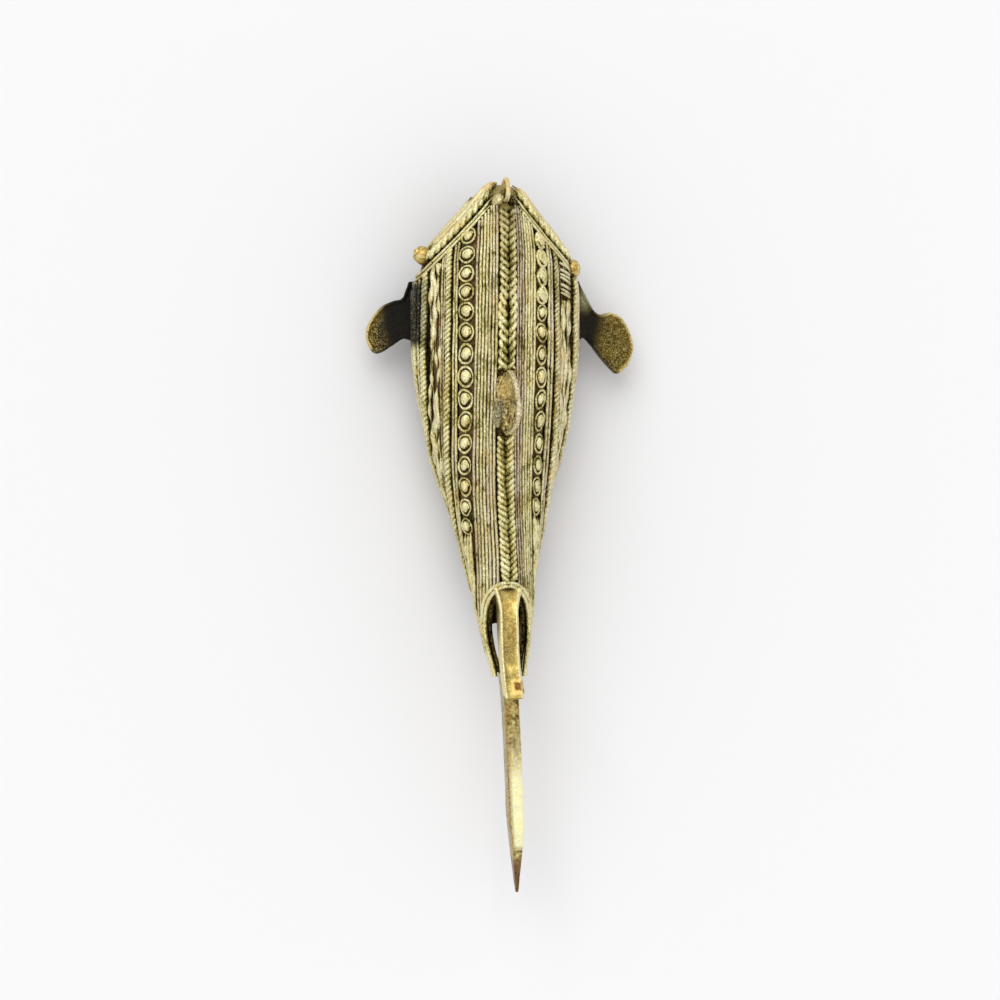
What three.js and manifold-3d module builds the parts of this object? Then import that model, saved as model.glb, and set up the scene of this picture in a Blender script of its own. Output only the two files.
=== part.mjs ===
// A hollow-cast brass fish, modelled as its maker builds it up before casting: a clay core, a thin wall
// over it, threads, plaits and coils laid side by side on the wall, then eyes, fins, nose loop and tail.
// Millimetres. +Y runs to the nose, +Z is up, +X is the fish's right, and z = 0 is the flat it rests on.
import * as THREE from "three";
import { mergeVertices } from "three/addons/utils/BufferGeometryUtils.js";
import Module from "manifold-3d";

const wasm = await Module();
wasm.setup();

// Clearances
const seatGap = 0.3; // between a laid piece and what it lies on
const sideGap = 0.2; // between neighbours laid side by side

// Cast wall: each row is one cross-section, with its half width and the heights of its back, widest level
// and belly
const snoutTip = { y: 55.4, half: 1.8, back: 23.5, side: 18.5, belly: 14.5 };
const snout = { y: 54.5, half: 3.8, back: 26.5, side: 18.0, belly: 12.0 };
const muzzle = { y: 52.6, half: 6.2, back: 29.8, side: 17.5, belly: 9.2 };
const jaw = { y: 48.5, half: 9.3, back: 32.6, side: 16.5, belly: 6.0 };
const cheek = { y: 42.5, half: 14.3, back: 34.6, side: 15.5, belly: 3.0 };
const gill = { y: 34.5, half: 18.9, back: 35.8, side: 15.0, belly: 1.0 };
const restFront = { y: 26.0, half: 19.8, back: 36.4, side: 14.6, belly: 0 };
const girth = { y: 17.0, half: 19.9, back: 36.6, side: 14.5, belly: 0 };
const waist = { y: 2.5, half: 18.3, back: 36.0, side: 14.5, belly: 0 };
const loin = { y: -12.5, half: 14.9, back: 34.0, side: 15.0, belly: 0 };
const restBack = { y: -26.0, half: 10.7, back: 31.3, side: 16.3, belly: 0 };
const tailRoot = { y: -42.5, half: 7.2, back: 28.2, side: 18.2, belly: 7.0 };
const sleeve = { y: -56.5, half: 5.2, back: 26.0, side: 19.5, belly: 12.5 };
const sleeveEnd = { y: -66.5, half: 3.2, back: 24.6, side: 19.8, belly: 15.0 };
const stations = [
  snoutTip, snout, muzzle, jaw, cheek, gill, restFront, girth, waist, loin, restBack, tailRoot, sleeve,
  sleeveEnd,
];
const bodyWall = 1.9;
const sleeveWall = 0.7;
const sleeveLip = 3.2; // bare wall left at the sleeve's end, behind the laid work

// Shape of one cross-section, as shares of its own height and width
const ridgeReach = 0.24;
const ridgeFall = 0.19;
const shoulderReach = 0.97;
const shoulderFall = 0.5;
const bellyRound = 0.56;
const bellyFlatShare = 0.34;

// Openings at the tail root: the top one runs from the arch to the sleeve's end, and light falls through
// the bottom one
const archY = -45.0;
const topCutMid = { y: -46.5, z: 20.8 };
const topCutEndZ = 21.6;
const bottomCutY = -53.5;
const bottomCutMid = { y: -57.5, z: 18.2 };
const cutEndMargin = 1.0; // how far a cutter or the cavity runs out past the sleeve's end
const cutReach = 10.0; // how far a cutter runs up or down past its opening
const bottomCutEndZ = 18.2;

// Laid work
const threadPitch = 1.0;
const threadBed = 0.45; // height of the groove between two threads
const threadHeight = 0.95;
const plaitWidth = 2.3;
const plaitHeight = 1.7;
const plaitGroove = 0.95;
const spineLobe = 2.6; // length of one lobe of the spine plait
const flankLobe = 3.5;
const plaitSlant = 1.0; // how far a lobe leans, per millimetre of width
const backThreadCount = 7;
const pairThreadCount = 2;
const sideThreadCount = 3;
const coilRowWidth = 5.0;
const coilPitch = 5.5;
const coilRadius = 2.35;
const coilWire = 0.95;
const coilHeight = 1.2;
const pelletRadius = 1.3; // of the pellet in each coil
const stripHeight = 0.5; // of the backing strip under coils and scrolls
const scrollWidth = 4.4;
const scrollPitch = 6.0;
const scrollWire = 0.95;
const scrollHeight = 1.3;
const bellyMargin = 3.4; // height above the belly where the lowest laid work stops
const traceStep = threadPitch / 4; // step in which a line is traced over the wall

// Head
const chevronApexY = 53.2;
const chevronSlope = 1.17;
const browThreadCount = 2;
const browCordWidth = 2.6;
const browCordHeight = 1.25;
const cheekThreadCount = 3;
const cheekFromArc = 9.5;
const eye = { arcShare: 0.9, ahead: 5.6, radius: 2.3, height: 3.9, lidRadius: 1.6, pupilRadius: 0.95 };
const noseLoop = { y: 53.2, z: 32.7, radius: 3.15, wire: 0.85, stretch: 1.15 };
const postHeight = 4; // of the cutters that clear the laid work round an eye or a nostril
const nostril = { y: 51.0, radius: 1.35, height: 1.3 };
const mouth = { z: 18.6, halfWidth: 3.5, halfHeight: 1.9, wire: 1.0 };

// Fins: outlines seen from above, as points [out from the laid work, forward of the fin's own place]
const finThickness = 2.2;
const finBevel = 0.45;
const finStandOff = 1.6; // from the wall to the outer face of the laid work
const leftFin = {
  y: 23.8, z: 10.2, droop: 12, rootFront: 6.0, rootBack: -6.9,
  edge: [[2.4, 5.1], [8.2, 0.5], [10.8, -4.6], [8.4, -10.2], [5.2, -8.4], [2.2, -6.4]],
};
const rightFin = {
  y: 22.9, z: 10.2, droop: 10, rootFront: 9.2, rootBack: -6.9,
  edge: [
    [1.5, 6.4], [4.9, 1.2], [8.6, 1.2], [13.2, -2.2], [14.7, -8.2], [10.2, -14.9], [6.4, -11.0], [1.6, -5.5],
  ],
};
const dorsal = { front: 8.8, back: -7.3, height: 7.4, baseHalf: 2.1, edgeHalf: 0.85, lean: 2.5, sink: 2 };

// Tail
const tailBevel = 0.6;
const upperLobe = {
  tuck: 3.6, endY: -72.6, endZ: 39.0, ribHeight: 5.2, ribThickness: 4.7,
  arch: 0.8, endSlant: 1.0, lean: -1.5,
};
const fork = { y: -70.4, z: 24.4, throat: 4.0, hollow: 1.0 };
const lowerLobe = { y: -78, topZ: 20.2, bottomZ: 13.0, thickness: 3.7 };
const tailNotch = { y: -110.4, depth: 0.8, width: 0.5, run: 6.0, rise: 2.5 };
const tailTip = { y: -120.9, z: 14.6, half: 0.8, taperFrom: -102, share: 0.16, ease: 1.3 };
const web = { topY: -59.0, frontY: -63.0, footZ: 12.8 };
const rimWidth = 1.3;
const rimHeight = 1.0;

// The hand-bent centre line, seen from above: how far it lies to the right of the middle of the back
const bend = { nose: 0.4, arch: 1.5, sleeve: 2.1, lobe: 3.6, tip: 5.4 };
const centreLine = [
  { y: snoutTip.y, x: bend.nose },
  { y: restFront.y, x: 0 },
  { y: loin.y, x: 0 },
  { y: archY, x: bend.arch },
  { y: web.topY, x: bend.sleeve },
  { y: lowerLobe.y, x: bend.lobe },
  { y: tailTip.y, x: bend.tip },
];

const brass = new THREE.MeshStandardMaterial({ color: 0xb3a05a, roughness: 0.38, metalness: 1 });
const goldenBrass = new THREE.MeshStandardMaterial({ color: 0xc29a3e, roughness: 0.34, metalness: 1 });
const darkBrass = new THREE.MeshStandardMaterial({ color: 0x6b5a2c, roughness: 0.55, metalness: 1 });
const clay = new THREE.MeshStandardMaterial({ color: 0x4a3526, roughness: 0.95, metalness: 0 });

// A smooth curve through rows of values that never swings past its rows
function valueAt(rows, key, y) {
  const last = rows.length - 1;
  if (y >= rows[0].y) return rows[0][key];
  if (y <= rows[last].y) return rows[last][key];
  let i = 0;
  while (y < rows[i + 1].y) i++;
  const secant = (k) => (rows[k + 1][key] - rows[k][key]) / (rows[k + 1].y - rows[k].y);
  const slope = (k) => {
    if (k === 0) return secant(0);
    if (k === last) return secant(last - 1);
    const before = secant(k - 1);
    const after = secant(k);
    return before * after <= 0 ? 0 : (2 * before * after) / (before + after);
  };
  const span = rows[i + 1].y - rows[i].y;
  const t = (y - rows[i].y) / span;
  const rise = t * t * (3 - 2 * t);
  const swing = slope(i) * t * (1 - t) * (1 - t) - slope(i + 1) * t * t * (1 - t);
  return rows[i][key] + (rows[i + 1][key] - rows[i][key]) * rise + span * swing;
}

const centreX = (y) => valueAt(centreLine, "x", y);

// Half of the wall's cross-section at y, from the spine round to the keel, as points across (x) and up (y)
const sectionCache = new Map();
function sectionAt(y, inset = 0) {
  const key = `${y.toFixed(4)} ${inset}`;
  if (sectionCache.has(key)) return sectionCache.get(key);
  const half = valueAt(stations, "half", y) - inset;
  const back = valueAt(stations, "back", y) - inset;
  const side = valueAt(stations, "side", y);
  const belly = valueAt(stations, "belly", y) + inset;
  const upper = back - side;
  const lower = side - belly;
  const flat = half * bellyFlatShare;
  const point = (x, z) => new THREE.Vector2(x, z);
  const flank = new THREE.CubicBezierCurve(
    point(0, back),
    point(half * ridgeReach, back - upper * ridgeFall),
    point(half * shoulderReach, back - upper * shoulderFall),
    point(half, side),
  );
  const underside = new THREE.CubicBezierCurve(
    point(half, side),
    point(half, side - lower * bellyRound),
    point(flat + (half - flat) * bellyRound, belly),
    point(flat, belly),
  );
  const upperPoints = flank.getPoints(36);
  const points = [...upperPoints, ...underside.getPoints(30).slice(1)];
  const arcs = [0];
  for (let i = 1; i < points.length; i++) arcs.push(arcs[i - 1] + points[i].distanceTo(points[i - 1]));
  const section = { points, arcs, sideIndex: upperPoints.length - 1 };
  sectionCache.set(key, section);
  return section;
}

// A point on one side of the wall, `arc` millimetres round from the spine
function wallPoint(side, y, arc) {
  const { points, arcs } = sectionAt(y);
  let i = 0;
  while (i < arcs.length - 2 && arcs[i + 1] < arc) i++;
  const t = THREE.MathUtils.clamp((arc - arcs[i]) / (arcs[i + 1] - arcs[i]), 0, 1);
  const p = points[i].clone().lerp(points[i + 1], t);
  return new THREE.Vector3(centreX(y) + side * p.x, y, p.y);
}
function wallNormal(side, y, arc) {
  const along = wallPoint(side, y + traceStep, arc).sub(wallPoint(side, y - traceStep, arc));
  const across = wallPoint(side, y, arc + traceStep).sub(wallPoint(side, y, arc - traceStep));
  return across.cross(along).multiplyScalar(side).normalize();
}
function skinPoint(side, y, arc, lift) {
  return wallPoint(side, y, arc).addScaledVector(wallNormal(side, y, arc), lift);
}

// Where the laid work starts behind the head, as a chevron with its point on the spine
const gillSection = sectionAt(gill.y);
const gillSideArc = gillSection.arcs[gillSection.sideIndex];
function frontY(arc) {
  const p = wallPoint(1, gill.y, Math.min(arc, gillSideArc));
  return chevronApexY - chevronSlope * (p.x - centreX(gill.y));
}
const runAt = (arc) => Math.hypot(1, (frontY(arc + traceStep) - frontY(arc - traceStep)) / (2 * traceStep));

// The place `distance` millimetres ahead of that chevron, over the wall
function forwardY(arc, distance) {
  let y = frontY(arc);
  let left = distance * runAt(arc);
  let here = wallPoint(1, y, arc);
  while (y < snoutTip.y - traceStep) {
    const next = wallPoint(1, y + traceStep, arc);
    const gone = next.distanceTo(here);
    if (gone >= left) return y + (traceStep * left) / gone;
    left -= gone;
    y += traceStep;
    here = next;
  }
  return y;
}

// Where each line of laid work runs off onto the belly, or ends at the bottom opening or the sleeve's end
function rearY(arc) {
  const last = sleeveEnd.y + sleeveLip;
  for (let y = restFront.y; y > last; y -= traceStep) {
    const next = y - traceStep;
    const z = wallPoint(1, next, arc).z;
    const offBelly = z < valueAt(stations, "belly", next) + bellyMargin;
    const inBottomCut = next < bottomCutY && z < cutHeight(bottomCut, next) + 2 * sideGap;
    if (offBelly || inBottomCut) return y;
  }
  return last;
}

// A closed solid through rings of points, each ring with the same count, its ends closed with a fan
function loft(rings) {
  const n = rings[0].length;
  const positions = rings.flat().flatMap((p) => [p.x, p.y, p.z]);
  const indices = [];
  for (let r = 0; r < rings.length - 1; r++) {
    for (let i = 0; i < n; i++) {
      const a = r * n + i;
      const b = r * n + ((i + 1) % n);
      indices.push(a, b, a + n, b, b + n, a + n);
    }
  }
  for (const r of [0, rings.length - 1]) {
    const centre = rings[r].reduce((sum, p) => sum.add(p), new THREE.Vector3()).divideScalar(n);
    const c = positions.length / 3;
    positions.push(centre.x, centre.y, centre.z);
    for (let i = 0; i < n; i++) {
      const a = r * n + i;
      const b = r * n + ((i + 1) % n);
      indices.push(...(r > 0 ? [c, a, b] : [c, b, a]));
    }
  }
  const geometry = new THREE.BufferGeometry();
  geometry.setAttribute("position", new THREE.Float32BufferAttribute(positions, 3));
  geometry.setIndex(indices);
  return geometry;
}

// Solids for joining and cutting, turned the right way out
function solidOf(geometry) {
  const plain = geometry.clone();
  plain.deleteAttribute("normal");
  plain.deleteAttribute("uv");
  const merged = mergeVertices(plain, 1e-4);
  const vertProperties = merged.attributes.position.array;
  const triVerts = new Uint32Array(merged.index.array);
  const solid = new wasm.Manifold(new wasm.Mesh({ numProp: 3, vertProperties, triVerts }));
  if (solid.volume() > 0) return solid;
  for (let i = 0; i < triVerts.length; i += 3) {
    [triVerts[i + 1], triVerts[i + 2]] = [triVerts[i + 2], triVerts[i + 1]];
  }
  return new wasm.Manifold(new wasm.Mesh({ numProp: 3, vertProperties, triVerts }));
}
function geometryOf(solid) {
  const mesh = solid.getMesh();
  const positions = [];
  for (let i = 0; i < mesh.vertProperties.length; i += mesh.numProp) {
    positions.push(...mesh.vertProperties.subarray(i, i + 3));
  }
  const geometry = new THREE.BufferGeometry();
  geometry.setAttribute("position", new THREE.Float32BufferAttribute(positions, 3));
  geometry.setIndex(new THREE.BufferAttribute(new Uint32Array(mesh.triVerts), 1));
  geometry.computeVertexNormals();
  return geometry;
}

// What a cut leaves loose is trimmed away
const largest = (solid) => solid.decompose().sort((a, b) => b.volume() - a.volume())[0];

const fish = new THREE.Group();
const sides = [["left", -1], ["right", 1]];
function add(name, solid, material) {
  const mesh = new THREE.Mesh(geometryOf(solid), material.clone());
  mesh.name = name;
  fish.add(mesh);
}

// The wall's surface as a solid, lifted off by `lift` or drawn in by what `insetAt` gives
function wallSolid(places, counts, insetAt, lift = 0) {
  const pick = (from, to, n) => placesBetween(from, to, n).slice(0, n).map((place) => Math.round(place));
  return solidOf(loft(places.map((y) => {
    const { points, sideIndex } = sectionAt(y, insetAt(y));
    const last = points.length - 1;
    const picked = [...pick(0, sideIndex, counts.upper), ...pick(sideIndex, last, counts.lower), last];
    const half = picked.map((i) => {
      const along = points[Math.min(i + 1, last)].clone().sub(points[Math.max(i - 1, 0)]).normalize();
      return new THREE.Vector2(i === 0 ? 0 : points[i].x - along.y * lift, points[i].y + along.x * lift);
    });
    const right = half.map((p) => new THREE.Vector3(centreX(y) + p.x, y, p.y));
    const left = half.slice(1).reverse().map((p) => new THREE.Vector3(centreX(y) - p.x, y, p.y));
    return [...right, ...left];
  })));
}
function placesBetween(from, to, count) {
  return Array.from({ length: count + 1 }, (_, i) => from + ((to - from) * i) / count);
}

// An outline in the plane of the fish's length (x) and height (y), pulled out to both sides of the centre
// line. `share` gives how much of the thickness is left at y, and `lean` how far it leans to the right there
function sidePlate(outline, thickness, bevel, share = () => 1, lean = () => 0) {
  const geometry = new THREE.ExtrudeGeometry(outline, {
    depth: thickness - 2 * bevel,
    bevelEnabled: bevel > 0,
    bevelThickness: bevel,
    bevelSize: bevel,
    bevelOffset: -bevel,
    bevelSegments: 1,
    curveSegments: 5,
  });
  geometry.translate(0, 0, bevel - thickness / 2);
  geometry.applyMatrix4(new THREE.Matrix4().set(0, 0, 1, 0, 1, 0, 0, 0, 0, 1, 0, 0, 0, 0, 0, 1));
  const position = geometry.attributes.position;
  for (let i = 0; i < position.count; i++) {
    const y = position.getY(i);
    position.setX(i, centreX(y) + lean(y) + position.getX(i) * share(y));
  }
  return solidOf(geometry);
}

// The openings at the tail root, cut from the side: each a curve from its front to the sleeve's end
function opening(frontY, frontZ, middle, endZ, beyond) {
  const curve = new THREE.QuadraticBezierCurve(
    new THREE.Vector2(frontY, frontZ),
    new THREE.Vector2(middle.y, middle.z),
    new THREE.Vector2(sleeveEnd.y - cutEndMargin, endZ),
  );
  return { curve, beyond };
}
function cutHeight({ curve }, y) {
  const points = curve.getPoints(24);
  const i = Math.max(1, points.findIndex((p) => p.x <= y));
  return THREE.MathUtils.mapLinear(y, points[i].x, points[i - 1].x, points[i].y, points[i - 1].y);
}
// Its cutter, grown forward and down (or up) past the opening's edge by `grow`
function cutterOf({ curve, beyond }, grow = 0) {
  const reach = grow * Math.sign(beyond);
  const start = { y: curve.v0.x + grow, z: curve.v0.y };
  const far = curve.v0.y + beyond;
  const shape = new THREE.Shape();
  shape.moveTo(start.y, start.z);
  shape.quadraticCurveTo(curve.v1.x + grow, curve.v1.y - reach, curve.v2.x, curve.v2.y - reach);
  shape.lineTo(curve.v2.x, far);
  shape.lineTo(start.y, far);
  return sidePlate(shape, 4 * tailRoot.half, 0);
}
const topFrontZ = valueAt(stations, "back", archY) + 2 * seatGap;
const topCut = opening(archY, topFrontZ, topCutMid, topCutEndZ, cutReach);
const bottomFrontZ = valueAt(stations, "belly", bottomCutY) - seatGap;
const bottomCut = opening(bottomCutY, bottomFrontZ, bottomCutMid, bottomCutEndZ, -cutReach);

// Cast wall and clay core
const headPlaces = stations.slice(0, 5).flatMap((row, i) => [row.y, (row.y + stations[i + 1].y) / 2]);
const rearPlaces = placesBetween(restBack.y, sleeveEnd.y, 10).slice(1);
const wallPlaces = [...headPlaces, ...placesBetween(gill.y, restBack.y, 12), ...rearPlaces];
const wallAt = (y) => THREE.MathUtils.mapLinear(
  THREE.MathUtils.clamp(y, topCutMid.y, restBack.y), topCutMid.y, restBack.y, sleeveWall, bodyWall,
);
const cavityPlaces = [
  muzzle.y - bodyWall, jaw.y, cheek.y, ...placesBetween(gill.y, restBack.y, 7),
  ...placesBetween(restBack.y, sleeveEnd.y, 6).slice(1), sleeveEnd.y - cutEndMargin,
];
const wallCounts = { upper: 7, lower: 4 };
const cavityCounts = { upper: 6, lower: 4 };
const cavity = wallSolid(cavityPlaces, cavityCounts, wallAt);
const wall = wallSolid(wallPlaces, wallCounts, () => 0);
add("body_shell", wall.subtract(cavity).subtract(cutterOf(topCut)).subtract(cutterOf(bottomCut)), darkBrass);
const corePlaces = cavityPlaces.filter((y) => y <= jaw.y && y > archY);
add("clay_core", wallSolid(corePlaces, cavityCounts, (y) => wallAt(y) + seatGap), clay);

// What the pieces set on the wall are cut to, so that each sits a seat gap off it
const seat = wallSolid(wallPlaces, wallCounts, () => 0, seatGap);

// Laid work: a closed solid over the wall. `profile(k)` gives its outline at step k as [across, lift] pairs,
// and `place(u, across)` says where a point of it lies, as { y, arc }
function band(side, steps, profile, place) {
  return solidOf(loft(Array.from({ length: steps + 1 }, (_, k) => profile(k).map(([across, lift]) => {
    const { y, arc } = place(k / steps, across);
    return skinPoint(side, y, arc, seatGap + lift);
  }))));
}

// Outlines: parallel threads, a plait whose crest rises and falls, a half-round cord and a flat strip
function threadOutline(count) {
  const outline = [];
  for (let i = 0; i < count; i++) {
    outline.push([(i + 0.5) * threadPitch, threadHeight]);
    if (i < count - 1) outline.push([(i + 1) * threadPitch, threadBed]);
  }
  const under = Math.ceil(count / 2);
  for (let i = under; i >= 0; i--) outline.push([(count * threadPitch * i) / under, 0]);
  return () => outline;
}
function plaitOutline(k) {
  const crest = k % 2 ? plaitHeight : plaitGroove;
  return [[0, 0], [0.3 * plaitWidth, crest], [0.7 * plaitWidth, crest], [plaitWidth, 0]];
}
function cordOutline(width, height) {
  const edge = 0.4 * height;
  const crest = [[0.25 * width, height], [0.75 * width, height]];
  return () => [[0, edge], ...crest, [width, edge], [width, 0], [0, 0]];
}
function stripOutline(width) {
  const top = [[0, stripHeight], [width / 2, stripHeight], [width, stripHeight]];
  return () => [...top, [width, 0], [width / 2, 0], [0, 0]];
}

const lengthways = (startArc, front, rear, lean = 0) => (u, across) => {
  const arc = startArc + across;
  const slant = lean * (across - plaitWidth / 2) * Math.min(1, 8 * u, 8 * (1 - u));
  return { arc, y: THREE.MathUtils.lerp(front(arc), rear(arc), u) - slant };
};
const chevronwise = (fromArc, toArc, start) => (u, across) => {
  const arc = THREE.MathUtils.lerp(fromArc, toArc, u);
  return { arc, y: forwardY(arc, start + across) };
};

// Threads are cut back round the nostril and in front of the rim of the top opening
function layThreads(name, startArc, count, steps, material) {
  for (const [sideName, side] of sides) {
    const laid = band(side, steps, threadOutline(count), lengthways(startArc, frontY, rearY));
    const nostrilRoom = post(nostril.radius + sideGap, side, nostril.y, nostrilArc);
    add(`${name}_${sideName}`, largest(laid.subtract(threadStop).subtract(nostrilRoom)), material);
  }
}
function layPlait(name, startArc, lobe, front, rear, lean, material) {
  const steps = 2 * Math.round((front(startArc) - rear(startArc)) / lobe);
  for (const [sideName, side] of sides) {
    const laid = band(side, steps, plaitOutline, lengthways(startArc, front, rear, lean));
    add(`${name}_${sideName}`, laid, material);
  }
}

// A shape turned round its own y axis, stood on the wall at a place
function stood(profile, segments, side, y, arc, lift) {
  const geometry = new THREE.LatheGeometry(profile.map(([r, h]) => new THREE.Vector2(r, h)), segments);
  const normal = wallNormal(side, y, arc);
  const along = new THREE.Vector3(0, 1, 0).addScaledVector(normal, -normal.y).normalize();
  geometry.applyMatrix4(new THREE.Matrix4().makeBasis(along, normal, along.clone().cross(normal)));
  const at = skinPoint(side, y, arc, lift);
  geometry.translate(at.x, at.y, at.z);
  return solidOf(geometry);
}

// A cutter that clears the laid work round what stands among it
function post(radius, side, y, arc) {
  const profile = [[0, -postHeight], [radius, -postHeight], [radius, postHeight], [0, postHeight]];
  return stood(profile, 10, side, y, arc, 0);
}

// Places of the laid work round each side, each from its neighbour
const spineArc = sideGap / 2;
const backArc = spineArc + plaitWidth + sideGap;
const coilArc = backArc + backThreadCount * threadPitch + sideGap;
const shoulderThreadArc = coilArc + coilRowWidth + sideGap;
const shoulderPlaitArc = shoulderThreadArc + pairThreadCount * threadPitch + sideGap;
const flankThreadArc = shoulderPlaitArc + plaitWidth + sideGap;
const scrollArc = flankThreadArc + pairThreadCount * threadPitch + sideGap;
const sidePlaitArc = scrollArc + scrollWidth + sideGap;
const sideThreadArc = sidePlaitArc + plaitWidth + sideGap;
const laidEndArc = sideThreadArc + sideThreadCount * threadPitch;
const nostrilArc = noseLoop.wire + 2 * sideGap + nostril.radius;

// Spine plait, in two lengths with the dorsal fin between them
const rimFrontY = archY + rimWidth;
const threadStop = cutterOf(topCut, rimWidth + sideGap);
const spineFront = () => noseLoop.y - noseLoop.radius - noseLoop.wire - 3 * seatGap;
const spineRear = () => rimFrontY + 2 * sideGap;
const dorsalFront = () => dorsal.front + seatGap;
const dorsalBack = () => dorsal.back - seatGap;
layPlait("spine_plait_front", spineArc, spineLobe, spineFront, dorsalFront, -plaitSlant, brass);
layPlait("spine_plait_rear", spineArc, spineLobe, dorsalBack, spineRear, -plaitSlant, brass);

layThreads("back_threads", backArc, backThreadCount, 18, brass);
layThreads("shoulder_threads", shoulderThreadArc, pairThreadCount, 16, brass);
layPlait("shoulder_plait", shoulderPlaitArc, flankLobe, frontY, rearY, plaitSlant, brass);
layThreads("flank_threads", flankThreadArc, pairThreadCount, 14, brass);
layPlait("side_plait", sidePlaitArc, flankLobe, frontY, rearY, plaitSlant, brass);
layThreads("side_threads", sideThreadArc, sideThreadCount, 12, brass);

// A row of coils on a strip: each is a ring of wire round a pellet
const coilProfile = [
  [0, 0],
  [coilRadius, 0],
  [coilRadius - 0.5 * coilWire, coilHeight],
  [pelletRadius, stripHeight],
  [0, coilHeight],
];
const coilMiddle = coilArc + coilRowWidth / 2;
const firstCoilY = frontY(coilMiddle) - (coilRadius + sideGap) * runAt(coilMiddle);
const lastCoilY = rearY(coilMiddle) + coilRadius;
for (const [sideName, side] of sides) {
  let row = band(side, 14, stripOutline(coilRowWidth), lengthways(coilArc, frontY, rearY));
  for (let y = firstCoilY; y > lastCoilY; y -= coilPitch) {
    row = row.add(stood(coilProfile, 8, side, y, coilMiddle, seatGap + stripHeight / 3));
  }
  add(`coil_row_${sideName}`, row.subtract(threadStop), brass);
}

// A row of scrolls: one wire that winds from edge to edge of its strip
for (const [sideName, side] of sides) {
  const length = frontY(scrollArc) - rearY(scrollArc);
  const steps = 4 * Math.round(length / scrollPitch);
  const edge = scrollWidth / 2 - scrollWire;
  const low = 0.9 * stripHeight;
  const foot = (across) => [across, stripHeight];
  const outline = (k) => {
    const middle = scrollWidth / 2 + edge * Math.sin((k * Math.PI) / 2);
    const wire = [foot(middle - scrollWire), [middle, scrollHeight], foot(middle + scrollWire)];
    return [[0, low], ...wire, [scrollWidth, low], [scrollWidth, 0], [0, 0]];
  };
  add(`scroll_row_${sideName}`, band(side, steps, outline, lengthways(scrollArc, frontY, rearY)), brass);
}

// Head: chevron bands over the cheeks, cut back round the eyes and the nostrils that stand among them
const eyeArc = eye.arcShare * gillSideArc;
const eyeY = forwardY(eyeArc, eye.ahead);
const browFromArc = nostrilArc + nostril.radius + sideGap;
const browPlaitStart = sideGap + browThreadCount * threadPitch + sideGap;
const browCordStart = browPlaitStart + plaitWidth + sideGap;
const cheekStart = browCordStart + browCordWidth + sideGap;
const cheekEndArc = laidEndArc;
const cordEndArc = eyeArc - eye.radius;
const browLength = cheekEndArc * runAt(gillSideArc / 2);
const browLobes = 2 * Math.round(browLength / flankLobe);
for (const [sideName, side] of sides) {
  const eyeRoom = post(eye.radius + sideGap, side, eyeY, eyeArc);
  const nostrilRoom = post(nostril.radius + sideGap, side, nostril.y, nostrilArc);
  const lay = (name, steps, outline, fromArc, toArc, start, material) => {
    const laid = band(side, steps, outline, chevronwise(fromArc, toArc, start));
    add(`${name}_${sideName}`, largest(laid.subtract(eyeRoom).subtract(nostrilRoom)), material);
  };
  const cord = cordOutline(browCordWidth, browCordHeight);
  lay("brow_threads", 10, threadOutline(browThreadCount), browFromArc, cheekEndArc, sideGap, brass);
  lay("brow_plait", browLobes, plaitOutline, browFromArc, cheekEndArc, browPlaitStart, brass);
  lay("brow_cord", 8, cord, browFromArc, cordEndArc, browCordStart, goldenBrass);
  lay("cheek_threads", 8, threadOutline(cheekThreadCount), cheekFromArc, cheekEndArc, cheekStart, darkBrass);

  const eyeProfile = [
    [0, -postHeight],
    [eye.radius, -postHeight],
    [eye.radius, 0.35 * eye.height],
    [eye.lidRadius, 0.8 * eye.height],
    [eye.pupilRadius, 0.62 * eye.height],
    [0.6 * eye.pupilRadius, eye.height],
    [0, eye.height],
  ];
  add(`eye_${sideName}`, stood(eyeProfile, 10, side, eyeY, eyeArc, seatGap).subtract(seat), goldenBrass);
  const nostrilProfile = [
    [0, -postHeight],
    [nostril.radius, -postHeight],
    [nostril.radius, 0.35 * nostril.height],
    [0.7 * nostril.radius, 0.85 * nostril.height],
    [0, nostril.height],
  ];
  const bead = stood(nostrilProfile, 8, side, nostril.y, nostrilArc, seatGap);
  add(`nostril_${sideName}`, bead.subtract(seat), brass);
}

// Nose loop, upright along the fish, with its foot on the nose
const loop = new THREE.TorusGeometry(noseLoop.radius, noseLoop.wire, 6, 16);
loop.rotateY(Math.PI / 2);
loop.scale(1, 1, noseLoop.stretch);
loop.translate(centreX(noseLoop.y), noseLoop.y, noseLoop.z);
add("nose_loop", solidOf(loop).subtract(seat), goldenBrass);

// Lips round the mouth, laid on the face
function faceY(x, z) {
  for (let y = snoutTip.y; y > jaw.y; y -= traceStep / 2) {
    const { points } = sectionAt(y);
    const i = points.findIndex((p) => p.y <= z);
    if (i > 0 && points[i].x >= Math.abs(x)) return y;
  }
  return jaw.y;
}
const lipOval = new THREE.EllipseCurve(0, mouth.z, mouth.halfWidth, mouth.halfHeight);
const lipLine = lipOval.getPoints(28).slice(1);
const lipPath = new THREE.CatmullRomCurve3(
  lipLine.map((p) => new THREE.Vector3(centreX(snout.y) + p.x, faceY(p.x, p.y), p.y)), true,
);
const lips = new THREE.TubeGeometry(lipPath, 28, mouth.wire, 5, true);
add("lips", largest(solidOf(lips).subtract(seat)), brass);

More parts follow.
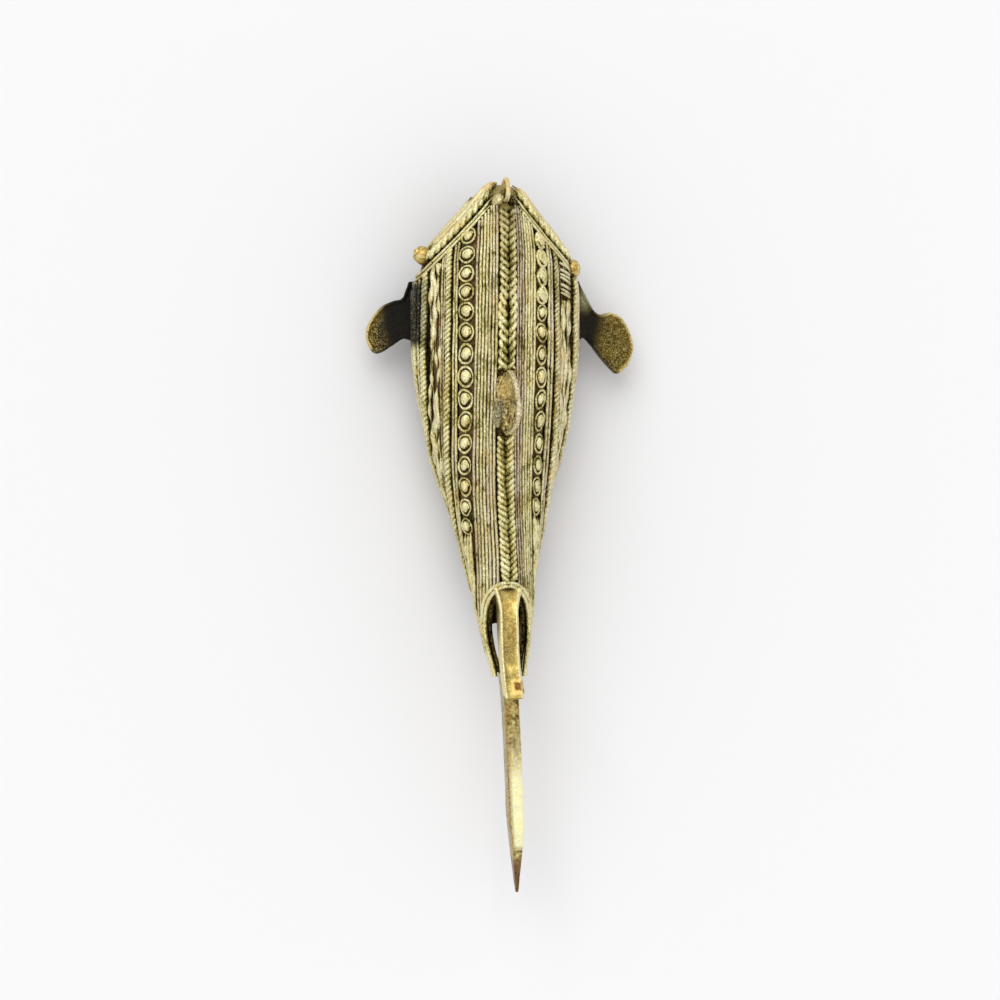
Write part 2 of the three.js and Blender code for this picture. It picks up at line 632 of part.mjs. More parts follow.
// Pectoral fins: paddles on the bare wall below the laid work
for (const [[sideName, side], fin] of [[sides[0], leftFin], [sides[1], rightFin]]) {
  const inside = finStandOff + 2 * bodyWall;
  const shape = new THREE.Shape();
  shape.moveTo(-inside, fin.rootFront);
  shape.lineTo(0, fin.rootFront);
  const edge = [...fin.edge, [0, fin.rootBack]];
  shape.splineThru(edge.map(([out, forward]) => new THREE.Vector2(out, forward)));
  shape.lineTo(-inside, fin.rootBack);
  const geometry = new THREE.ExtrudeGeometry(shape, {
    depth: finThickness - 2 * finBevel,
    bevelThickness: finBevel,
    bevelSize: finBevel,
    bevelOffset: -finBevel,
    bevelSegments: 1,
    curveSegments: 3,
  });
  geometry.translate(0, 0, finBevel - finThickness / 2);
  geometry.rotateY(THREE.MathUtils.degToRad(fin.droop));
  geometry.scale(side, 1, 1);
  const base = valueAt(stations, "half", fin.y) + finStandOff;
  geometry.translate(centreX(fin.y) + side * base, fin.y, fin.z);
  add(`pectoral_fin_${sideName}`, largest(solidOf(geometry).subtract(seat)), goldenBrass);
}

// Dorsal fin: a crest between the two lengths of spine plait, leaning to the right
const dorsalRings = placesBetween(0, 1, 8).map((u) => {
  const y = THREE.MathUtils.lerp(dorsal.back, dorsal.front, u);
  const swell = Math.sqrt(Math.sin(Math.PI * THREE.MathUtils.lerp(0.06, 0.94, u)));
  const foot = valueAt(stations, "back", y);
  const top = dorsal.height * swell;
  const half = dorsal.baseHalf * THREE.MathUtils.lerp(0.6, 1, swell);
  const over = dorsal.lean * swell;
  const at = (x, z) => new THREE.Vector3(centreX(y) + x, y, foot + z);
  return [
    at(-half, -dorsal.sink), at(-half, 0.2 * top), at(over - dorsal.edgeHalf, 0.85 * top), at(over, top),
    at(over + dorsal.edgeHalf, 0.85 * top), at(half, 0.2 * top), at(half, -dorsal.sink),
  ];
});
add("dorsal_fin", solidOf(loft(dorsalRings)).subtract(seat), goldenBrass);

// Tail: a thick rounded rib over a plate, whose long lower lobe ends in a notch and a point
const ribRootY = archY;
const ribRiseY = archY - upperLobe.tuck;
const archHalf = upperLobe.ribThickness / 2 + seatGap;
const underArch = sectionAt(ribRiseY, wallAt(ribRiseY)).points.find((p) => p.x > archHalf);
const ribTopZ = underArch.y - seatGap;
const ribRootZ = ribTopZ - upperLobe.ribHeight;
const ribEndZ = upperLobe.endZ - upperLobe.ribHeight;
const ribHeelY = upperLobe.endY + upperLobe.endSlant;
const ribMid = { y: (ribRiseY + upperLobe.endY) / 2, z: (ribTopZ + upperLobe.endZ) / 2 + upperLobe.arch };
const rib = new THREE.Shape();
rib.moveTo(ribRootY, ribRootZ);
rib.lineTo(ribRootY, ribTopZ);
rib.lineTo(ribRiseY, ribTopZ);
rib.quadraticCurveTo(ribMid.y, ribMid.z, upperLobe.endY, upperLobe.endZ);
rib.lineTo(ribHeelY, ribEndZ);
rib.quadraticCurveTo(ribMid.y, ribMid.z - upperLobe.ribHeight, ribRootY, ribRootZ);
const ribLean = (y) => upperLobe.lean * (1 - THREE.MathUtils.smoothstep(y, upperLobe.endY, ribRootY));
add("tail_upper_lobe", sidePlate(rib, upperLobe.ribThickness, tailBevel, () => 1, ribLean), brass);

// The plate starts below the rib where the web begins, and its lower lobe narrows to the tip seen from above
const underRib = new THREE.QuadraticBezierCurve(
  new THREE.Vector2(ribRootY, ribRootZ - seatGap),
  new THREE.Vector2(ribMid.y, ribMid.z - upperLobe.ribHeight - seatGap),
  new THREE.Vector2(ribHeelY, ribEndZ - seatGap),
);
const plate = new THREE.Shape(underRib.getPoints(12).filter((p) => p.x < web.topY));
plate.quadraticCurveTo(fork.y, fork.z + fork.throat, fork.y, fork.z);
plate.quadraticCurveTo(fork.y - fork.hollow, lowerLobe.topZ, lowerLobe.y, lowerLobe.topZ);
plate.lineTo(tailNotch.y, lowerLobe.topZ);
plate.lineTo(tailNotch.y - tailNotch.width, lowerLobe.topZ - tailNotch.depth);
plate.quadraticCurveTo(
  tailNotch.y - tailNotch.run, tailTip.z + tailNotch.rise, tailTip.y, tailTip.z + tailTip.half,
);
plate.lineTo(tailTip.y, tailTip.z - tailTip.half);
plate.quadraticCurveTo(tailNotch.y, lowerLobe.bottomZ, tailTip.taperFrom, lowerLobe.bottomZ);
plate.lineTo(lowerLobe.y, lowerLobe.bottomZ);
plate.lineTo(web.frontY, web.footZ);
const plateShare = (y) => {
  const gone = THREE.MathUtils.clamp((tailTip.taperFrom - y) / (tailTip.taperFrom - tailTip.y), 0, 1);
  return 1 - (1 - tailTip.share) * gone ** tailTip.ease;
};
add("tail_plate", sidePlate(plate, lowerLobe.thickness, tailBevel, plateShare), goldenBrass);

// Rim: a thread laid round the edge of the top opening
const rimPlaces = wallPlaces.filter((y) => y < restBack.y);
const rimOuter = wallSolid(rimPlaces, wallCounts, () => 0, seatGap + rimHeight);
const rimRoom = cutterOf(topCut, rimWidth).subtract(cutterOf(topCut));
add("tail_rim", rimOuter.subtract(seat).intersect(rimRoom), brass);

// The origin lies in the middle of the fish's length and width, on the flat it rests on
const bounds = new THREE.Box3().setFromObject(fish);
const middle = bounds.getCenter(new THREE.Vector3());
for (const mesh of fish.children) mesh.geometry.translate(-middle.x, -middle.y, -bounds.min.z);

export default fish;
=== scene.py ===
import math

import bmesh
import bpy
import numpy as np
from mathutils import Matrix, Vector


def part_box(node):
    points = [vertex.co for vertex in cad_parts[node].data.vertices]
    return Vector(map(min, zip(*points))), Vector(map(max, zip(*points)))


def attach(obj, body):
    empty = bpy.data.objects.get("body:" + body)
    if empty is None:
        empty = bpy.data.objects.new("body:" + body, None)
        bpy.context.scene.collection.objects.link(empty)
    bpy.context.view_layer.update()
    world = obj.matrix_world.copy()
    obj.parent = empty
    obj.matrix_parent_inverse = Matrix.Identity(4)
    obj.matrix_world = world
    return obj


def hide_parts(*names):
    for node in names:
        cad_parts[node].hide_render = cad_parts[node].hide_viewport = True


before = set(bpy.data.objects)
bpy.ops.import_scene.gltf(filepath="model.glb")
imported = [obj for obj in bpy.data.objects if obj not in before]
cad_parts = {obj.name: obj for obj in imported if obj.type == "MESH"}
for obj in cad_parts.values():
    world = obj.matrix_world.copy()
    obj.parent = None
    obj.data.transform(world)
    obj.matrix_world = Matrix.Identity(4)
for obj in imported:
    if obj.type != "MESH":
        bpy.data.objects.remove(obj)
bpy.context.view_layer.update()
print("frame loaded")

# The cast wall, in millimetres before the part is centred: nose towards +Y, up +Z, the fish's right +X
wallRowKeys = ("y", "half", "back", "side", "belly")
wallRows = (
    (55.4, 1.8, 23.5, 18.5, 14.5),  # tip of the snout
    (54.5, 3.8, 26.5, 18.0, 12.0),
    (52.6, 6.2, 29.8, 17.5, 9.2),
    (48.5, 9.3, 32.6, 16.5, 6.0),
    (42.5, 14.3, 34.6, 15.5, 3.0),
    (34.5, 18.9, 35.8, 15.0, 1.0),  # gill
    (26.0, 19.8, 36.4, 14.6, 0.0),
    (17.0, 19.9, 36.6, 14.5, 0.0),  # girth
    (2.5, 18.3, 36.0, 14.5, 0.0),
    (-12.5, 14.9, 34.0, 15.0, 0.0),
    (-26.0, 10.7, 31.3, 16.3, 0.0),
    (-42.5, 7.2, 28.2, 18.2, 7.0),
    (-56.5, 5.2, 26.0, 19.5, 12.5),
    (-66.5, 3.2, 24.6, 19.8, 15.0),  # end of the tail sleeve
)
centreRows = ((55.4, 0.4), (26, 0), (-12.5, 0), (-45, 1.5), (-59, 2.1), (-78, 3.6), (-120.9, 5.4))
wallLook = {
    "gillY": 34.5,
    "restFrontY": 26.0,
    "restBackY": -26.0,
    "muzzleY": 52.6,
    "jawY": 48.5,
    "ridgeReach": 0.24,
    "ridgeFall": 0.19,
    "shoulderReach": 0.97,
    "shoulderFall": 0.5,
    "bellyRound": 0.56,
    "bellyFlatShare": 0.34,
    "thickness": 1.9,
    "sleeveThickness": 0.7,
    "sleeveLip": 3.2,
    "archY": -45.0,
    "bottomCutY": -53.5,
}
flankCount, undersideCount = 37, 31  # points of a section from the spine to the side, and on to the keel
snoutY = wallRows[0][0]
sleeveEndY = wallRows[-1][0]


def follow(rows, column, y):
    # a smooth curve through rows of values that never swings past its rows
    places = np.array([row[0] for row in rows], float)
    values = np.array([row[column] for row in rows], float)
    secants = np.diff(values) / np.diff(places)
    slopes = np.empty(len(rows))
    slopes[0], slopes[-1] = secants[0], secants[-1]
    before, after = secants[:-1], secants[1:]
    total = np.where(np.abs(before + after) < 1e-12, 1, before + after)
    slopes[1:-1] = np.where(before * after > 0, 2 * before * after / total, 0)
    y = np.clip(np.asarray(y, float), places[-1], places[0])
    i = np.clip(np.searchsorted(-places, -y, side="right") - 1, 0, len(rows) - 2)
    span = places[i + 1] - places[i]
    t = (y - places[i]) / span
    rise = t * t * (3 - 2 * t)
    swing = slopes[i] * t * (1 - t) ** 2 - slopes[i + 1] * t * t * (1 - t)
    return values[i] + (values[i + 1] - values[i]) * rise + span * swing


def stationAt(key, y):
    return follow(wallRows, wallRowKeys.index(key), y)


def centreX(y):
    return follow(centreRows, 1, y)


def bezier(p0, p1, p2, p3, count):
    t = np.linspace(0, 1, count)[:, None]
    p0, p1, p2, p3 = (np.array(p, float) for p in (p0, p1, p2, p3))
    return (1 - t) ** 3 * p0 + 3 * (1 - t) ** 2 * t * p1 + 3 * (1 - t) * t * t * p2 + t**3 * p3


def walked(points):
    # the length of a line from its start to each of its points
    return np.concatenate([[0], np.cumsum(np.linalg.norm(np.diff(points, axis=0), axis=1))])


def sectionAt(y, inset=0.0):
    # half of the cross-section at y, from the spine round to the keel, with the way round at each point
    half = float(stationAt("half", y)) - inset
    back = float(stationAt("back", y)) - inset
    side = float(stationAt("side", y))
    belly = float(stationAt("belly", y)) + inset
    upper, lower, flat = back - side, side - belly, half * wallLook["bellyFlatShare"]
    flank = bezier(
        (0, back),
        (half * wallLook["ridgeReach"], back - upper * wallLook["ridgeFall"]),
        (half * wallLook["shoulderReach"], back - upper * wallLook["shoulderFall"]),
        (half, side),
        flankCount,
    )
    underside = bezier(
        (half, side),
        (half, side - lower * wallLook["bellyRound"]),
        (flat + (half - flat) * wallLook["bellyRound"], belly),
        (flat, belly),
        undersideCount,
    )
    points = np.concatenate([flank, underside[1:]])
    return points, walked(points)


# The wall read once on a fine grid, so that places on it can be looked up quickly
gridStep = 0.25
gridYs = np.arange(sleeveEndY - 2, snoutY + gridStep, gridStep)
farthestArc = 62
gridArcs = np.arange(0, farthestArc, gridStep)
gridWall = np.empty((len(gridYs), len(gridArcs), 2))
for gridRow, gridY in enumerate(gridYs):
    sectionPoints, sectionArcs = sectionAt(gridY)
    gridWall[gridRow, :, 0] = np.interp(gridArcs, sectionArcs, sectionPoints[:, 0])
    gridWall[gridRow, :, 1] = np.interp(gridArcs, sectionArcs, sectionPoints[:, 1])


def unit(vectors):
    return vectors / np.linalg.norm(vectors, axis=-1, keepdims=True)


def wallPoint(side, y, arc):
    y, arc = np.broadcast_arrays(np.asarray(y, float), np.asarray(arc, float))
    row = np.clip((y - gridYs[0]) / gridStep, 0, len(gridYs) - 1.001)
    column = np.clip(arc / gridStep, 0, len(gridArcs) - 1.001)
    i, j = row.astype(int), column.astype(int)
    u, v = (row - i)[..., None], (column - j)[..., None]
    near = gridWall[i, j] * (1 - v) + gridWall[i, j + 1] * v
    far = gridWall[i + 1, j] * (1 - v) + gridWall[i + 1, j + 1] * v
    across = near * (1 - u) + far * u
    return np.stack([centreX(y) + side * across[..., 0], y, across[..., 1]], axis=-1)


def wallNormal(side, y, arc):
    step = 0.3
    y, arc = np.broadcast_arrays(np.asarray(y, float), np.asarray(arc, float))
    along = wallPoint(side, y + step, arc) - wallPoint(side, y - step, arc)
    inner = np.maximum(arc - step, 0)
    across = wallPoint(side, y, arc + step) - wallPoint(side, y, inner)
    return unit(np.cross(across, along) * side)


def skinPoint(side, y, arc, lift):
    return wallPoint(side, y, arc) + wallNormal(side, y, arc) * np.asarray(lift, float)[..., None]


# Distances of the laid work, as in the solid model
laid = {
    "seatGap": 0.3,
    "sideGap": 0.2,
    "threadPitch": 1.0,
    "plaitWidth": 2.3,
    "coilRowWidth": 5.0,
    "scrollWidth": 4.4,
    "backThreads": 7,
    "pairThreads": 2,
    "sideThreads": 3,
    "bellyMargin": 3.4,
    "chevronApexY": 53.2,
    "chevronSlope": 1.17,
    "browThreads": 2,
    "browCordWidth": 2.6,
    "cheekThreads": 3,
    "cheekFromArc": 9.5,
    "rimWidth": 1.3,
}
sideGap, threadPitch, plaitWidth = laid["sideGap"], laid["threadPitch"], laid["plaitWidth"]
spineArc = sideGap / 2
backArc = spineArc + plaitWidth + sideGap
coilArc = backArc + laid["backThreads"] * threadPitch + sideGap
shoulderThreadArc = coilArc + laid["coilRowWidth"] + sideGap
shoulderPlaitArc = shoulderThreadArc + laid["pairThreads"] * threadPitch + sideGap
flankThreadArc = shoulderPlaitArc + plaitWidth + sideGap
scrollArc = flankThreadArc + laid["pairThreads"] * threadPitch + sideGap
sidePlaitArc = scrollArc + laid["scrollWidth"] + sideGap
sideThreadArc = sidePlaitArc + plaitWidth + sideGap
laidEndArc = sideThreadArc + laid["sideThreads"] * threadPitch

gillSideArc = sectionAt(wallLook["gillY"])[1][flankCount - 1]


def frontY(arc):
    out = wallPoint(1, wallLook["gillY"], np.minimum(arc, gillSideArc))[..., 0]
    return laid["chevronApexY"] - laid["chevronSlope"] * (out - centreX(wallLook["gillY"]))


def runAt(arc):
    arc = np.asarray(arc, float)
    return np.hypot(1, (frontY(arc + 0.1) - frontY(np.maximum(arc - 0.1, 0))) / 0.2)


def forwardY(arc, distance):
    # the place `distance` ahead of the chevron, measured over the wall
    arc, distance = np.broadcast_arrays(np.asarray(arc, float), np.asarray(distance, float))
    y = frontY(arc).copy()
    left = distance * runAt(arc)
    here = wallPoint(1, y, arc)
    moving = np.ones(arc.shape, bool)
    while (moving & (y < snoutY - gridStep)).any():
        going = moving & (y < snoutY - gridStep)
        ahead = wallPoint(1, y + gridStep, arc)
        gone = np.linalg.norm(ahead - here, axis=-1)
        last = going & (gone >= left)
        y = np.where(last, y + gridStep * left / np.maximum(gone, 1e-6), np.where(going, y + gridStep, y))
        left = np.where(going & ~last, left - gone, left)
        here = np.where(going[..., None], ahead, here)
        moving = going & ~last
    return y


def quadratic(p0, p1, p2, count):
    t = np.linspace(0, 1, count)[:, None]
    p0, p1, p2 = (np.array(p, float) for p in (p0, p1, p2))
    return (1 - t) ** 2 * p0 + 2 * (1 - t) * t * p1 + t * t * p2


topCutMid = (-46.5, 20.8)

# The two openings at the tail root, as curves of (y, z), and how far their cutters reach
topCut = {
    "line": (
        (wallLook["archY"], float(stationAt("back", wallLook["archY"])) + 2 * laid["seatGap"]),
        topCutMid,
        (sleeveEndY - 1, 21.6),
    ),
    "beyond": 10,
}
bottomCut = {
    "line": (
        (wallLook["bottomCutY"], float(stationAt("belly", wallLook["bottomCutY"])) - laid["seatGap"]),
        (-57.5, 18.2),
        (sleeveEndY - 1, 18.2),
    ),
    "beyond": -10,
}


def cutLine(cut, grow=0.0, count=60):
    (y0, z0), (y1, z1), (y2, z2) = cut["line"]
    reach = grow * math.copysign(1, cut["beyond"])
    return quadratic((y0 + grow, z0), (y1 + grow, z1 - reach), (y2, z2 - reach), count)


def cutHeight(cut, y, grow=0.0):
    line = cutLine(cut, grow)[::-1]
    return np.interp(y, line[:, 0], line[:, 1])


rearPlaces = {}


def rearY(arc):
    # where a line of laid work runs off onto the belly, or ends at the bottom opening or the sleeve's end
    key = round(float(arc), 3)
    if key not in rearPlaces:
        y, last = wallLook["restFrontY"], sleeveEndY + wallLook["sleeveLip"]
        while y > last:
            z = float(wallPoint(1, y - gridStep, arc)[2])
            offBelly = z < float(stationAt("belly", y - gridStep)) + laid["bellyMargin"]
            inCut = y - gridStep < wallLook["bottomCutY"]
            if offBelly or (inCut and z < cutHeight(bottomCut, y - gridStep) + 2 * sideGap):
                break
            y -= gridStep
        rearPlaces[key] = max(y, last)
    return rearPlaces[key]


# The part was centred on its origin when it was packed, so the same shift is read back from the frame
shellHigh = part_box("body_shell")[1]
loopLow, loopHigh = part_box("nose_loop")
noseLoop = {
    "y": 53.2, "z": 32.7, "radius": 3.15, "wire": 0.85, "stretch": 1.15, "rearShare": 0.72, "sides": 14,
    "wander": 0.3, "groove": 0.0, "crest": 3.5, "thin": 0.66, "footSwell": 0.4, "count": 72,
}
shift = np.array([
    float(centreX(noseLoop["y"])) - 500 * (loopLow.x + loopHigh.x),
    snoutY - 1000 * shellHigh.y,
    0.0,
])


def toFrame(points):
    return (np.asarray(points, float) - shift) / 1000


def fromFrame(points):
    return np.asarray(points, float) * 1000 + shift


eyeLook = {
    "arcShare": 0.9, "ahead": 5.6, "radius": 2.3, "height": 3.9, "lidRadius": 1.6, "pupilRadius": 0.95,
    "room": 0.3,
}
nostrilLook = {"y": 51.0, "radius": 1.35, "height": 1.3, "room": 0.3}
eyeArc = eyeLook["arcShare"] * gillSideArc
eyeY = float(forwardY(eyeArc, eyeLook["ahead"]))
eyeBack = {-1: 0.0, 1: 2.6}  # the right eye was set further back
nostrilArc = noseLoop["wire"] + 2 * sideGap + nostrilLook["radius"]
nostrilInward = 0.5


# Nodes and trees
def addNode(tree, kind, inputs=None, take=None, **settings):
    # a node with its settings and links, handed back as the output `take`, or its first
    node = tree.nodes.new(kind)
    for name, value in settings.items():
        setattr(node, name, value)
    for key, value in (inputs or {}).items():
        socket = node.inputs[key] if isinstance(key, int) else next(
            s for s in node.inputs if s.enabled and s.name == key
        )
        if isinstance(value, bpy.types.NodeSocket):
            tree.links.new(value, socket)
        else:
            socket.default_value = value
    return next(s for s in node.outputs if s.enabled and take in (None, s.name))


def startTree(name, sockets):
    # a tree with named inputs, where a Length and a pattern's Size are given in millimetres by `grow`
    tree = bpy.data.node_groups.new(name, "GeometryNodeTree")
    for label, kind in {"Geometry": "Geometry", **sockets}.items():
        plain = "Float" if kind in ("Length", "Size") else kind
        tree.interface.new_socket(label, description=kind, in_out="INPUT", socket_type="NodeSocket" + plain)
    tree.interface.new_socket("Geometry", in_out="OUTPUT", socket_type="NodeSocketGeometry")
    return tree, tree.nodes.new("NodeGroupInput").outputs


def endTree(tree, geometry, finish):
    smooth = addNode(tree, "GeometryNodeSetShadeSmooth", {"Geometry": geometry})
    real = addNode(tree, "GeometryNodeRealizeInstances", {"Geometry": smooth})
    finished = addNode(tree, "GeometryNodeSetMaterial", {"Geometry": real, "Material": finish})
    tree.links.new(finished, tree.nodes.new("NodeGroupOutput").inputs[0])


def storeRelief(tree, given, geometry):
    # 0 in a groove and 1 on a crest, from how far a point stands off the wall
    wall = addNode(tree, "GeometryNodeObjectInfo", {"Object": given["wall"]}, take="Geometry")
    away = addNode(tree, "GeometryNodeProximity", {"Geometry": wall}, take="Distance")
    relief = addNode(tree, "ShaderNodeMapRange", {
        "Value": away, "From Min": given["groove"], "From Max": given["crest"],
    })
    return addNode(tree, "GeometryNodeStoreNamedAttribute", {
        "Geometry": geometry, "Name": "relief", "Value": relief,
    }, data_type="FLOAT", domain="POINT")


def drift(tree, scale, amount, seed):
    # a slow wander of a hand-laid line, as an offset
    here = addNode(tree, "GeometryNodeInputPosition")
    noise = addNode(tree, "ShaderNodeTexNoise", {
        "Vector": here, "W": seed, "Scale": scale, "Detail": 1.0,
    }, take="Color", noise_dimensions="4D")
    centred = addNode(tree, "ShaderNodeVectorMath", {0: noise, 1: (0.5, 0.5, 0.5)}, operation="SUBTRACT")
    return addNode(tree, "ShaderNodeVectorMath", {0: centred, "Scale": amount}, operation="SCALE")


def sweep(tree, curve, sides, radius):
    # a round wire along a curve, thicker and thinner as the curve's swell says
    swell = addNode(tree, "GeometryNodeInputNamedAttribute", {"Name": "swell"}, data_type="FLOAT")
    profile = addNode(tree, "GeometryNodeCurvePrimitiveCircle", {"Resolution": sides, "Radius": radius})
    return addNode(tree, "GeometryNodeCurveToMesh", {
        "Curve": curve, "Profile Curve": profile, "Scale": swell, "Fill Caps": True,
    })


wanderInputs = {"wander": "Length", "wanderSize": "Size", "seed": "Float"}
reliefInputs = {"wall": "Object", "groove": "Length", "crest": "Length", "finish": "Material"}


# Round wires along guide lines: threads, cords, rims and rings
def makeWireTree():
    tree, given = startTree("laidWire", {"radius": "Length", "sides": "Int", **wanderInputs, **reliefInputs})
    curve = addNode(tree, "GeometryNodeMeshToCurve", {"Mesh": given["Geometry"]})
    moved = addNode(tree, "GeometryNodeSetPosition", {
        "Geometry": curve, "Offset": drift(tree, given["wanderSize"], given["wander"], given["seed"]),
    })
    wire = sweep(tree, moved, given["sides"], given["radius"])
    endTree(tree, storeRelief(tree, given, wire), given["finish"])
    return tree


# Two strands turned round each other along a guide line that carries its own turn angle
def makeTwistTree():
    tree, given = startTree("twistedPair", {
        "strand": "Length", "spread": "Length", "rise": "Length", "sides": "Int", "handedness": "Float",
        **wanderInputs, **reliefInputs,
    })
    curve = addNode(tree, "GeometryNodeMeshToCurve", {"Mesh": given["Geometry"]})
    doubled = addNode(tree, "GeometryNodeDuplicateElements", {
        "Geometry": curve, "Amount": 2,
    }, domain="SPLINE")
    marked = addNode(tree, "GeometryNodeStoreNamedAttribute", {
        "Geometry": doubled, "Name": "strand", "Value": doubled.node.outputs["Duplicate Index"],
    }, data_type="FLOAT", domain="CURVE")
    strand, turn, swell, up, out = (
        addNode(tree, "GeometryNodeInputNamedAttribute", {"Name": name}, data_type=kind) for name, kind in (
            ("strand", "FLOAT"), ("turn", "FLOAT"), ("swell", "FLOAT"), ("up", "FLOAT_VECTOR"),
            ("out", "FLOAT_VECTOR"),
        )
    )
    angle = addNode(tree, "ShaderNodeMath", {0: strand, 1: math.pi, 2: turn}, operation="MULTIPLY_ADD")
    offset = drift(tree, given["wanderSize"], given["wander"], given["seed"])
    for direction, wave, factors in (
        (out, "COSINE", (given["handedness"], given["spread"], swell)), (up, "SINE", (given["rise"], swell)),
    ):
        amount = addNode(tree, "ShaderNodeMath", {0: angle}, operation=wave)
        for factor in factors:
            amount = addNode(tree, "ShaderNodeMath", {0: amount, 1: factor}, operation="MULTIPLY")
        push = addNode(tree, "ShaderNodeVectorMath", {0: direction, "Scale": amount}, operation="SCALE")
        offset = addNode(tree, "ShaderNodeVectorMath", {0: offset, 1: push}, operation="ADD")
    moved = addNode(tree, "GeometryNodeSetPosition", {"Geometry": marked, "Offset": offset})
    pair = sweep(tree, moved, given["sides"], given["strand"])
    endTree(tree, storeRelief(tree, given, pair), given["finish"])
    return tree


# One ornament set again and again along a row of places, each a little turned, oval and bent
def makeRowTree():
    tree, given = startTree("ornamentRow", {
        "ornament": "Object", "oval": "Float", "turn": "Float", "bend": "Length", "bendSize": "Size",
        "seed": "Int", **reliefInputs,
    })
    ornament = addNode(tree, "GeometryNodeObjectInfo", {"Object": given["ornament"]}, take="Geometry")
    up, out, swell, stretch = (
        addNode(tree, "GeometryNodeInputNamedAttribute", {"Name": name}, data_type=kind) for name, kind in (
            ("up", "FLOAT_VECTOR"), ("out", "FLOAT_VECTOR"), ("swell", "FLOAT"), ("stretch", "FLOAT"),
        )
    )
    facing = addNode(tree, "FunctionNodeAxesToRotation", {
        "Primary Axis": up, "Secondary Axis": out,
    }, primary_axis="Z", secondary_axis="X")
    least = addNode(tree, "ShaderNodeMath", {0: given["turn"], 1: -1.0}, operation="MULTIPLY")
    narrow = addNode(tree, "ShaderNodeMath", {0: 1.0, 1: given["oval"]}, operation="SUBTRACT")
    angle, size = (
        addNode(tree, "FunctionNodeRandomValue", {
            "Min": low, "Max": high, "Seed": given["seed"],
        }, data_type="FLOAT") for low, high in ((least, given["turn"]), (narrow, 1.0))
    )
    turned = addNode(tree, "FunctionNodeRotateRotation", {
        "Rotation": facing, "Rotate By": addNode(tree, "ShaderNodeCombineXYZ", {"Z": angle}),
    }, rotation_space="LOCAL")
    width = addNode(tree, "ShaderNodeMath", {0: size, 1: swell}, operation="MULTIPLY")
    scale = addNode(tree, "ShaderNodeCombineXYZ", {"X": width, "Y": stretch, "Z": 1.0})
    points = addNode(tree, "GeometryNodeMeshToPoints", {"Mesh": given["Geometry"]})
    placed = addNode(tree, "GeometryNodeInstanceOnPoints", {
        "Points": points, "Instance": ornament, "Rotation": turned, "Scale": scale,
    })
    real = addNode(tree, "GeometryNodeRealizeInstances", {"Geometry": placed})
    bent = addNode(tree, "GeometryNodeSetPosition", {
        "Geometry": real, "Offset": drift(tree, given["bendSize"], given["bend"], 3.0),
    })
    endTree(tree, storeRelief(tree, given, bent), given["finish"])
    return tree


# The sand and lumps of a rough casting, pushed out and in along the surface's own direction
def makeCastTree():
    tree, given = startTree("castSkin", {
        "grainSize": "Size", "grainDepth": "Length", "lumpSize": "Size", "lumpDepth": "Length",
        "seed": "Float", "finish": "Material",
    })
    here = addNode(tree, "GeometryNodeInputPosition")
    normal = addNode(tree, "GeometryNodeInputNormal")
    grain, lump = (addNode(tree, "ShaderNodeTexNoise", {
        "Vector": here, "W": given["seed"], "Scale": given[label], "Detail": 2.0, "Roughness": 0.6,
    }, noise_dimensions="4D") for label in ("grainSize", "lumpSize"))
    pushes = []
    for noise, depth in ((grain, given["grainDepth"]), (lump, given["lumpDepth"])):
        centred = addNode(tree, "ShaderNodeMath", {0: noise, 1: 0.5}, operation="SUBTRACT")
        pushes.append(addNode(tree, "ShaderNodeMath", {0: centred, 1: depth}, operation="MULTIPLY"))
    push = addNode(tree, "ShaderNodeMath", {0: pushes[0], 1: pushes[1]}, operation="ADD")
    offset = addNode(tree, "ShaderNodeVectorMath", {0: normal, "Scale": push}, operation="SCALE")
    relief = addNode(tree, "ShaderNodeMapRange", {"Value": grain, "From Min": 0.3, "From Max": 0.7})
    stored = addNode(tree, "GeometryNodeStoreNamedAttribute", {
        "Geometry": given["Geometry"], "Name": "relief", "Value": relief,
    }, data_type="FLOAT", domain="POINT")
    moved = addNode(tree, "GeometryNodeSetPosition", {"Geometry": stored, "Offset": offset})
    endTree(tree, moved, given["finish"])
    return tree


wireTree, twistTree, rowTree, castTree = makeWireTree(), makeTwistTree(), makeRowTree(), makeCastTree()
print("node trees made")


# Meshes
def newObject(name, mesh):
    thing = bpy.data.objects.new(name, mesh)
    bpy.context.scene.collection.objects.link(thing)
    return thing


def meshOf(name, points, faces=(), edges=()):
    mesh = bpy.data.meshes.new(name)
    mesh.from_pydata([tuple(p) for p in points], list(edges), list(faces))
    mesh.update()
    return mesh


def solidOf(name, points, faces, triangulated=False):
    # a closed shape given in millimetres, with its faces turned outwards
    mesh = meshOf(name, toFrame(points), faces)
    shape = bmesh.new()
    shape.from_mesh(mesh)
    bmesh.ops.recalc_face_normals(shape, faces=shape.faces)
    if triangulated:
        bmesh.ops.triangulate(shape, faces=[f for f in shape.faces if len(f.verts) > 4])
    shape.to_mesh(mesh)
    shape.free()
    return newObject(name, mesh)


def loftMesh(name, rings):
    # closed rings of points joined into a solid
    count = len(rings[0])
    points = [tuple(p) for ring in rings for p in ring]
    faces = [
        (r * count + i, r * count + (i + 1) % count, (r + 1) * count + (i + 1) % count, (r + 1) * count + i)
        for r in range(len(rings) - 1) for i in range(count)
    ]
    faces += [tuple(range(count)), tuple(range(len(points) - 1, len(points) - 1 - count, -1))]
    return solidOf(name, points, faces)


def slab(name, outline, thickness, place):
    # a flat outline given a thickness, its local places turned into real ones by `place`
    count = len(outline)
    points = [place(u, v, w) for w in (-thickness / 2, thickness / 2) for u, v in outline]
    faces = [tuple(range(count)), tuple(range(2 * count - 1, count - 1, -1))]
    faces += [(i, (i + 1) % count, count + (i + 1) % count, count + i) for i in range(count)]
    return solidOf(name, points, faces, triangulated=True)


